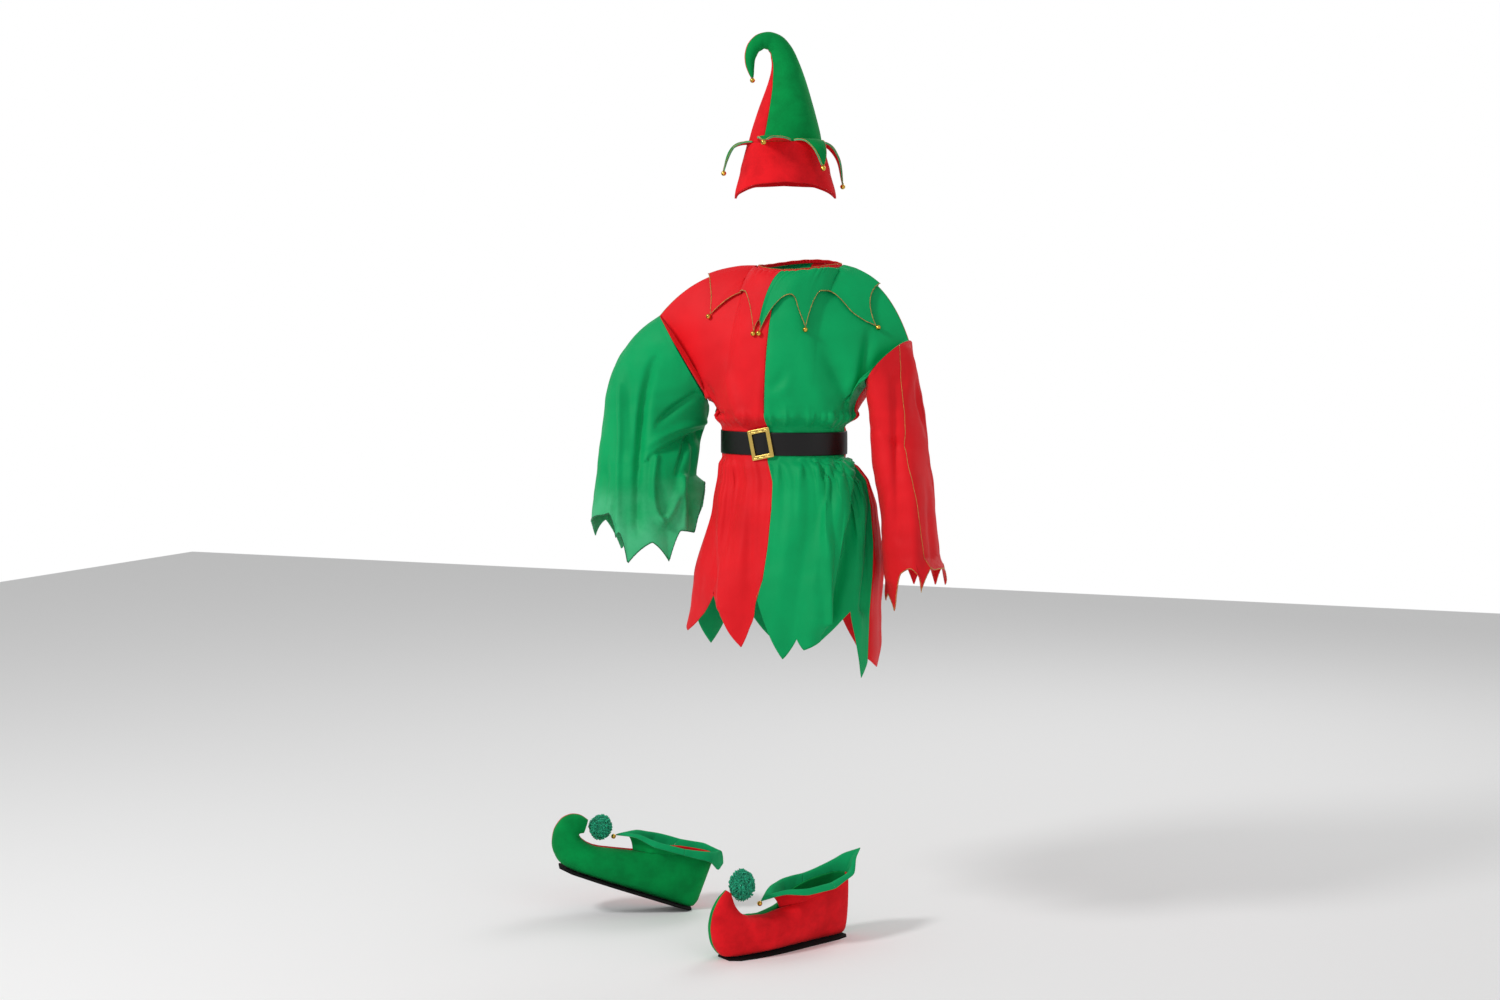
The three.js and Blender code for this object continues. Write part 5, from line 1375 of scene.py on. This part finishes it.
def yarn_ball(centre, stretch, radius, seed):
    """Curly yarn strands set evenly round a ball by the golden angle: each climbs out and ends in a
    loose helix that shows as a small loop."""
    rng = np.random.default_rng(seed)
    strands = YARN["strands"]
    k = np.arange(strands) + 0.5
    z = 1 - 2 * k / strands
    a = k * math.pi * (3 - math.sqrt(5))
    way = np.stack([np.sqrt(1 - z * z) * np.cos(a), np.sqrt(1 - z * z) * np.sin(a), z], -1)
    way = unit(way + rng.normal(0, YARN["spread"], way.shape))
    one = unit(np.cross(way, rng.normal(0, 1, way.shape)))
    two = np.cross(way, one)
    lumps = 1 + 0.05 * np.sin(5 * way[:, :1] + seed) * np.cos(4 * way[:, 1:2])
    reach = (radius * lumps * rng.uniform(*YARN["reach"], (strands, 1)))[:, None] - YARN["thick"][0]
    s = np.linspace(0, 1, YARN["points"])[None, :, None]
    phase = rng.uniform(0, 6.28, (strands, 1, 1)) + s * rng.uniform(*YARN["turns"], (strands, 1, 1))
    curl = rng.uniform(*YARN["curl"], (strands, 1, 1)) * s
    path = way[:, None] * mix(YARN["root"] * radius, reach, s ** 0.6)
    path = path + (one[:, None] * np.cos(phase) + two[:, None] * np.sin(phase)) * curl
    return tubes(path * stretch + centre, np.linspace(*YARN["thick"], YARN["points"])[None])


# Bells
BAND_INSET = 0.98  # the ball is smaller than the bell, for its raised band


def bell_parts(radius):
    """A jingle bell on its own axis: a ball with a raised band, a slot with two round ends, and a loop.
    Gives points and triangles, and which of them are the slot's painted shade: the slot is not cut open."""
    rows, columns = 20, 28
    v = np.linspace(0, np.pi, rows + 1)[1:-1]
    u = np.arange(columns) / columns * 2 * np.pi
    band = 1 + 0.05 * np.exp(-(((v - np.pi / 2) / 0.07) ** 2))
    ring = np.stack([
        np.sin(v)[:, None] * np.cos(u) * band[:, None],
        np.sin(v)[:, None] * np.sin(u) * band[:, None],
        np.cos(v)[:, None] * band[:, None] + 0 * u,
    ], -1).reshape(-1, 3)
    count = len(ring)
    points = np.concatenate([ring, [[0, 0, 1], [0, 0, -1]]])
    quads, _ = quads_of(rows - 1, columns, True)
    across = np.arange(columns)
    after = (across + 1) % columns
    low = count - columns
    faces = np.concatenate([
        quads[:, [0, 1, 2]], quads[:, [0, 2, 3]],
        np.stack([np.full(columns, count), across, after], -1),
        np.stack([np.full(columns, count + 1), low + after, low + across], -1),
    ])
    middle = points[faces].mean(1)
    # Painted shade: the faces of the slot and its round ends stay closed and are painted dark.
    slot = (np.abs(middle[:, 0]) < 0.1) & (middle[:, 2] < -0.35)
    ends = np.hypot(middle[:, 0], np.abs(middle[:, 1]) - 0.8) < 0.2
    dark = slot | (ends & (middle[:, 2] < -0.2))
    turn = np.arange(14) / 14 * 2 * np.pi
    loop = np.stack([0 * turn, 0.26 * np.cos(turn), 1.16 + 0.26 * np.sin(turn)], -1)
    more, loop_quads = tubes(loop[None], np.full((1, 14), 0.09), sides=5, closed=True)
    loop_faces = np.concatenate([loop_quads[:, [0, 1, 2]], loop_quads[:, [0, 2, 3]]]) + len(points)
    dark = np.concatenate([dark, np.zeros(len(loop_faces), bool)])
    return np.concatenate([points, more]) * radius, np.concatenate([faces, loop_faces]), dark


def hang_bells(name, centres, axes, radius, nodes):
    """Bells at their places, each turned so that its loop looks along its axis, for the nodes' bells."""
    points, faces, dark = bell_parts(radius * BAND_INSET)
    every, all_faces = [], []
    for k, (centre, axis) in enumerate(zip(centres, axes)):
        up = unit(axis)
        side = unit(np.cross(up, [0.3, 1.0, 0.2]))
        every.append(points[:, :1] * side + points[:, 1:2] * np.cross(up, side) + points[:, 2:] * up + centre)
        all_faces.append(faces + k * len(points))
    # Slot 1 is the painted shade of the bells' slots.
    slots = np.tile(dark.astype(int), len(every))
    piece = make_mesh(name, np.concatenate(every), np.concatenate(all_faces), slots=slots)
    dress(piece, ["bell", "bell_slot"], "gold", *nodes)


def size_property(name, description, metres):
    """A length of the costume with its default."""
    return bpy.props.FloatProperty(
        name=name, description=description, default=metres, subtype="DISTANCE", unit="LENGTH")


class CostumeSizes(bpy.types.PropertyGroup):
    """Sizes that a maker would change."""

    cloth: size_property("Cloth", "Thickness of the tunic cloth", 0.0012)
    thread: size_property("Thread", "Radius of the edge thread", 0.0006)
    bell: size_property("Bell", "Radius of a bell", 0.0055)
    pompom: size_property("Pompom", "Radius of a pompom", 0.0305)
    crease: bpy.props.FloatProperty(
        name="Creases", description="Share of the creases' depth", default=2.1, min=0.0, max=2.5,
        subtype="FACTOR")


def colour_property(name, description, hex_colour):
    """A colour of the costume with its default."""
    return bpy.props.FloatVectorProperty(
        name=name, description=description, default=linear(hex_colour), subtype="COLOR", size=3,
        min=0.0, max=1.0)


class CostumeColours(bpy.types.PropertyGroup):
    """Colours that a maker would change."""

    red: colour_property("Red", "Dye of the red cloth and felt", "#EE1C25")
    green: colour_property("Green", "Dye of the green cloth", "#00A860")
    hat_green: colour_property("Felt green", "Dye of the green felt", "#009648")
    belt: colour_property("Belt", "Belt", "#0D0A0B")
    gold: colour_property("Gold", "Plating of the buckle", "#E8C56A")
    pompom: colour_property("Pompom", "Dye of the pompoms' yarn", "#1CC998")


def hem_thread(name, grids, radius, finish, slot, period=2.6, sway=1.3, edge_row=-1):
    """Zigzag stitches over the free edges of cloth grids: their last rows, or their first at 0."""
    paths = []
    for grid, normals in grids:
        edge, before = grid[edge_row], grid[-2 if edge_row else 1]
        paths.append(along_edge(edge, normals[edge_row], unit(before - edge), period, sway, radius * 0.7))
    return dress(thread(name, paths, radius), [finish], slot)


# The left sleeve's seam thread is real; its pale gold is a painted highlight along the seam.
SEAM_LINE = {"share": (0, 0.5, 1), "degrees": (35, 68, 67), "radius": 0.5}


def seam_thread(grid, normals):
    """The stitched line down the front of the left sleeve, from its shoulder seam to its hem: a real thread,
    drawn in pale gold as a painted highlight along the seam.
    """
    row = np.arange(len(grid) - 1)
    degrees = np.interp(row / row[-1], SEAM_LINE["share"], SEAM_LINE["degrees"])
    column = degrees / 180 * (SLEEVE["columns"] - 1)
    before = column.astype(int)
    share = (column - before)[:, None]
    pick = lambda values: values[row, before] * (1 - share) + values[row, before + 1] * share
    path = pick(grid) + pick(normals) * 0.4
    return dress(thread("sleeve_left_seam_thread", [path], SEAM_LINE["radius"]), ["gold_thread"], "tunic_red")


class COSTUME_OT_sleeves(bpy.types.Operator):
    """Two wide sleeves, each a front and a back half with a zigzag hem and its edge thread"""

    bl_idname = "costume.sleeves"
    bl_label = "Sleeves"

    def execute(self, context):
        sizes = context.scene.costume_sizes
        for side, finish, slot, edge in (
            ("left", "tunic_red", "tunic_red", "gold_thread"),
            ("right", "sleeve_green", "tunic_green", "green_thread"),
        ):
            halves, pieces = [], []
            for place, first in (("front", 0), ("back", 180)):
                node = f"sleeve_{side}_{place}"
                grid, normals, backlight_share = sleeve_half(side, first, first + 180, sizes.crease)
                piece = shell(f"{node}_cloth", grid, normals, sizes.cloth / MM, painted_backlight=backlight_share)
                dress(piece, [finish] * 3, slot, node)
                halves.append((grid, normals))
                pieces.append(piece)
            edging = hem_thread(f"sleeve_{side}_edge_thread", halves, sizes.thread / MM, edge, slot)
            seams = [seam_thread(*halves[0])] if side == "left" else []
        return {"FINISHED"}


class COSTUME_OT_collar(bpy.types.Operator):
    """Ruffled neck edge and ten collar petals with gold thread round them"""

    bl_idname = "costume.collar"
    bl_label = "Collar"

    def execute(self, context):
        sizes = context.scene.costume_sizes
        radius = sizes.thread / MM
        grid, normals = neck_edge()
        band = shell("neck_edge_cloth", grid, normals, 1.2, closed=True)
        dress(band, ["tunic_red"] * 3, "tunic_red", "neck_edge")
        loop = [(np.concatenate([grid, grid[:, :1]], 1), np.concatenate([normals, normals[:, :1]], 1))]
        edging = hem_thread(
            "neck_edge_thread", loop, radius * 0.8, "gold_thread", "gold", 2.4, 0.8, edge_row=0)
        for colour, first in (("green", 0), ("red", 5)):
            grid, normals = collar_half(first)
            piece = shell(f"collar_{colour}_cloth", grid, normals, sizes.cloth / MM)
            dress(piece, [f"tunic_{colour}"] * 3, f"tunic_{colour}", f"collar_{colour}")
            edging = hem_thread(f"collar_{colour}_thread", [(grid, normals)], radius, "gold_thread", "gold")
        return {"FINISHED"}


class COSTUME_OT_belt(bpy.types.Operator):
    """Imitation leather strap and its pressed gold buckle"""

    bl_idname = "costume.belt"
    bl_label = "Belt"

    def execute(self, context):
        grid, normals, thick = belt_strap()
        dress(shell("belt_strap", grid, normals, thick, closed=True), ["belt"] * 3, "belt", "belt")
        points, faces, dark = buckle_frame()
        piece = make_mesh("buckle_frame", points, faces, slots=dark.astype(int))
        dress(piece, ["gold", "bell_slot"], "gold", "buckle")
        return {"FINISHED"}


def round_leaf(values, k):
    """The values along a leaf's three free sides, this many rows and columns in from its edge."""
    return np.concatenate([values[:, k], values[-1 - k, 1:-1], values[::-1, -1 - k]])


class COSTUME_OT_hat(bpy.types.Operator):
    """Two halves of the curled cone, the flared brim and six two-colour petals with their edges"""

    bl_idname = "costume.hat"
    bl_label = "Hat"

    def execute(self, context):
        sizes = context.scene.costume_sizes
        for colour, first in (("green", 0.0), ("red", 0.5)):
            grid, normals, thick = cone_half(first)
            piece = shell(f"hat_{colour}_half", grid, normals, thick)
            dress(piece, [f"felt_{colour}"] * 3, f"felt_{colour}", f"hat_cone_{colour}")
        grid, normals = brim_ring()
        band = shell("hat_brim_band", grid, normals, 4.0, closed=True)
        dress(band, ["felt_red"] * 3, "felt_red", "hat_brim")
        edges = []
        for k, petal in enumerate(HAT_PETALS, 1):
            grid, normals, *_ = hat_petal(*petal)
            piece = shell(f"hat_leaf_{k}", grid, normals, 3.0)
            dress(piece, ["felt_green", "felt_red", "edge_green"], "felt_green", f"hat_petal_{k}")
            edge, inner = round_leaf(grid, 0), round_leaf(grid, 1)
            edges.append(along_edge(edge, round_leaf(normals, 0), unit(inner - edge), 2.8, 1.0, 0.3))
        dress(thread("hat_leaf_thread", edges, sizes.thread / MM), ["gold_thread"], "gold")
        return {"FINISHED"}


class COSTUME_OT_shoes(bpy.types.Operator):
    """Two shoe covers: sides, two-colour flaps and curly pompoms"""

    bl_idname = "costume.shoes"
    bl_label = "Shoe covers"

    def execute(self, context):
        sizes = context.scene.costume_sizes
        for number, shoe in enumerate(SHOES):
            name = f"shoe_{shoe['name']}"
            turn = lambda vectors: shoe_placed(shoe, vectors) - turned(*shoe["heel"])
            for place, sign in (("near", 1), ("far", -1)):
                grid, normals, thick = shoe_side(shoe, sign)
                piece = shell(f"{name}_{place}_side", shoe_placed(shoe, grid), turn(normals), thick)
                dress(piece, [shoe[place]] * 3, shoe[place], f"{name}_{place}")
            for place, first, last in (("front", -89.9, 89.9), ("back", 90.1, 269.9)):
                grid, normals = flap_grid(FLAPS[shoe["name"]], first, last)
                piece = shell(f"{name}_flap_{place}_felt", shoe_placed(shoe, grid), turn(normals), 2.4)
                dress(piece, ["lining_green", shoe["near"], "edge_green", shoe["far"]], "felt_green",
                      f"{name}_flap_{place}")
                line_far_side(piece, grid)
            points, faces = yarn_ball(shoe["pompom"], shoe["stretch"], sizes.pompom / MM, 7 + number)
            piece = make_mesh(f"{name}_yarn", shoe_placed(shoe, points), faces)
            dress(piece, ["yarn"], "pompom", f"{name}_pompom")
            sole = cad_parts[f"{name}_sole"].data.materials
            sole.clear()
            sole.append(MATERIALS["sole"])
        return {"FINISHED"}


class COSTUME_OT_bells(bpy.types.Operator):
    """Nineteen jingle bells on the points of the collar, the hat and the shoe covers"""

    bl_idname = "costume.bells"
    bl_label = "Bells"

    def execute(self, context):
        radius = context.scene.costume_sizes.bell / MM
        seat = radius + 0.2
        tips, along, normal = collar_tips()
        centres = tips + (along + normal) * seat
        nodes = [f"bell_collar_{k + 1}" for k in range(PETALS)]
        hang_bells("collar_bells", centres, tips + normal * 4 - centres, radius, nodes)
        centres, axes, nodes = [], [], ["bell_hat_top"]
        for k, petal in enumerate(HAT_PETALS, 1):
            *_, tip, end, along, under = hat_petal(*petal)
            middle = end + along * seat + under * 1.5
            centre = hat_place(math.radians(petal[0]), middle[0], np.zeros(()), middle[1])
            centres.append(centre)
            axes.append(tip - centre)
            nodes.append(f"bell_hat_{k}")
        centres.append(turned(TIP_ACROSS, 0, CONE["height"][-1] - seat))
        axes.append(np.array([0, 0, 1.0]))
        hang_bells("hat_bells", centres, axes, radius, nodes)
        centres = [shoe_placed(shoe, SHOE_BELL_PLACE) for shoe in SHOES]
        axes = [shoe_placed(shoe, SHOE_BELL_PLACE + [-4, 0, 4.0]) - c for shoe, c in zip(SHOES, centres)]
        nodes = [f"shoe_{shoe['name']}_bell" for shoe in SHOES]
        hang_bells("shoe_bells", centres, axes, radius, nodes)
        return {"FINISHED"}


FLOOR_SIZE = 6000.0
LIGHTS = (  # name, place in metres, size in metres, watts
    ("key light", (-2.3, -2.9, 2.3), 0.9, 90),
    ("fill light", (3.2, -2.4, 0.8), 2.4, 12),
    ("back light", (0.5, 3.2, 1.8), 2.0, 30),
)
AIM = (0, 0, -0.5)
SURROUNDINGS = {"on_cloth": 0.52, "seen": 1.0}  # strength of the white surroundings
CAMERA = {"lens": 51.43, "sensor": 36, "place": (1.598, -4.208, -0.120), "tilt": 85.35}


class COSTUME_OT_stage(bpy.types.Operator):
    """Pale floor, white surroundings, three soft lights and the camera"""

    bl_idname = "costume.stage"
    bl_label = "Stage"

    def execute(self, context):
        scene = context.scene
        scene.view_settings.view_transform = "Standard"
        corners = np.array([[-1, -1, 0], [1, -1, 0], [1, 1, 0], [-1, 1, 0]])
        plane = make_mesh("floor", corners * FLOOR_SIZE, np.array([[0, 1, 2, 3]]), smooth=False)
        material, tree = start_material("matt white paper")
        finish_material(tree, {
            "Base Color": (0.92, 0.92, 0.92, 1), "Roughness": 0.9,
            "Normal": bumped(tree, noise(tree, 300, 2), 0.05, 0.0005)})
        plane.data.materials.append(material)
        world = bpy.data.worlds.new("white studio")
        world.use_nodes = True
        tree = world.node_tree
        ray = add_node(tree, "ShaderNodeLightPath").outputs["Is Camera Ray"]
        limits = {"Value": ray, "To Min": SURROUNDINGS["on_cloth"], "To Max": SURROUNDINGS["seen"]}
        strength = add_node(tree, "ShaderNodeMapRange", limits)
        tree.nodes["Background"].inputs["Color"].default_value = (1, 1, 1, 1)
        tree.links.new(strength.outputs[0], tree.nodes["Background"].inputs["Strength"])
        scene.world = world
        for name, place, size, power in LIGHTS:
            lamp = bpy.data.lights.new(name, "AREA")
            lamp.shape, lamp.size, lamp.energy = "DISK", size, power
            light = bpy.data.objects.new(name, lamp)
            light.location = place
            aim = Vector(AIM) - Vector(place)
            light.rotation_euler = aim.to_track_quat("-Z", "Y").to_euler()
            scene.collection.objects.link(light)
        lens = bpy.data.cameras.new("camera")
        lens.lens, lens.sensor_width = CAMERA["lens"], CAMERA["sensor"]
        lens.clip_start, lens.clip_end = 0.05, 50
        camera = bpy.data.objects.new("camera", lens)
        camera.location = CAMERA["place"]
        camera.rotation_euler = (math.radians(CAMERA["tilt"]), 0, TURN)
        scene.collection.objects.link(camera)
        scene.camera = camera
        return {"FINISHED"}


class COSTUME_PT_panel(bpy.types.Panel):
    """Sizes, colours and pieces of the costume"""

    bl_idname = "COSTUME_PT_panel"
    bl_label = "Elf costume"
    bl_space_type = "VIEW_3D"
    bl_region_type = "UI"
    bl_category = "Costume"

    def draw(self, context):
        layout = self.layout
        for group in (context.scene.costume_sizes, context.scene.costume_colours):
            for name in group.__annotations__:
                layout.prop(group, name)
        for operator in OPERATORS:
            layout.operator(operator.bl_idname)


OPERATORS = (
    COSTUME_OT_tunic, COSTUME_OT_sleeves, COSTUME_OT_collar, COSTUME_OT_belt, COSTUME_OT_hat,
    COSTUME_OT_shoes, COSTUME_OT_bells, COSTUME_OT_stage,
)
CLASSES = (CostumeSizes, CostumeColours) + OPERATORS + (COSTUME_PT_panel,)


def register():
    """Registers the classes and hangs the two groups on the scene."""
    for each in CLASSES:
        bpy.utils.register_class(each)
    bpy.types.Scene.costume_sizes = bpy.props.PointerProperty(type=CostumeSizes)
    bpy.types.Scene.costume_colours = bpy.props.PointerProperty(type=CostumeColours)


def unregister():
    """Takes the groups and the classes out again."""
    del bpy.types.Scene.costume_sizes, bpy.types.Scene.costume_colours
    for each in reversed(CLASSES):
        bpy.utils.unregister_class(each)


def main():
    """Makes the costume piece by piece, then the stage."""
    register()
    make_materials(bpy.context.scene.costume_colours)
    bpy.ops.costume.tunic()
    bpy.ops.costume.sleeves()
    bpy.ops.costume.collar()
    bpy.ops.costume.belt()
    bpy.ops.costume.hat()
    bpy.ops.costume.shoes()
    bpy.ops.costume.bells()
    bpy.ops.costume.stage()


if __name__ == "__main__":
    main()
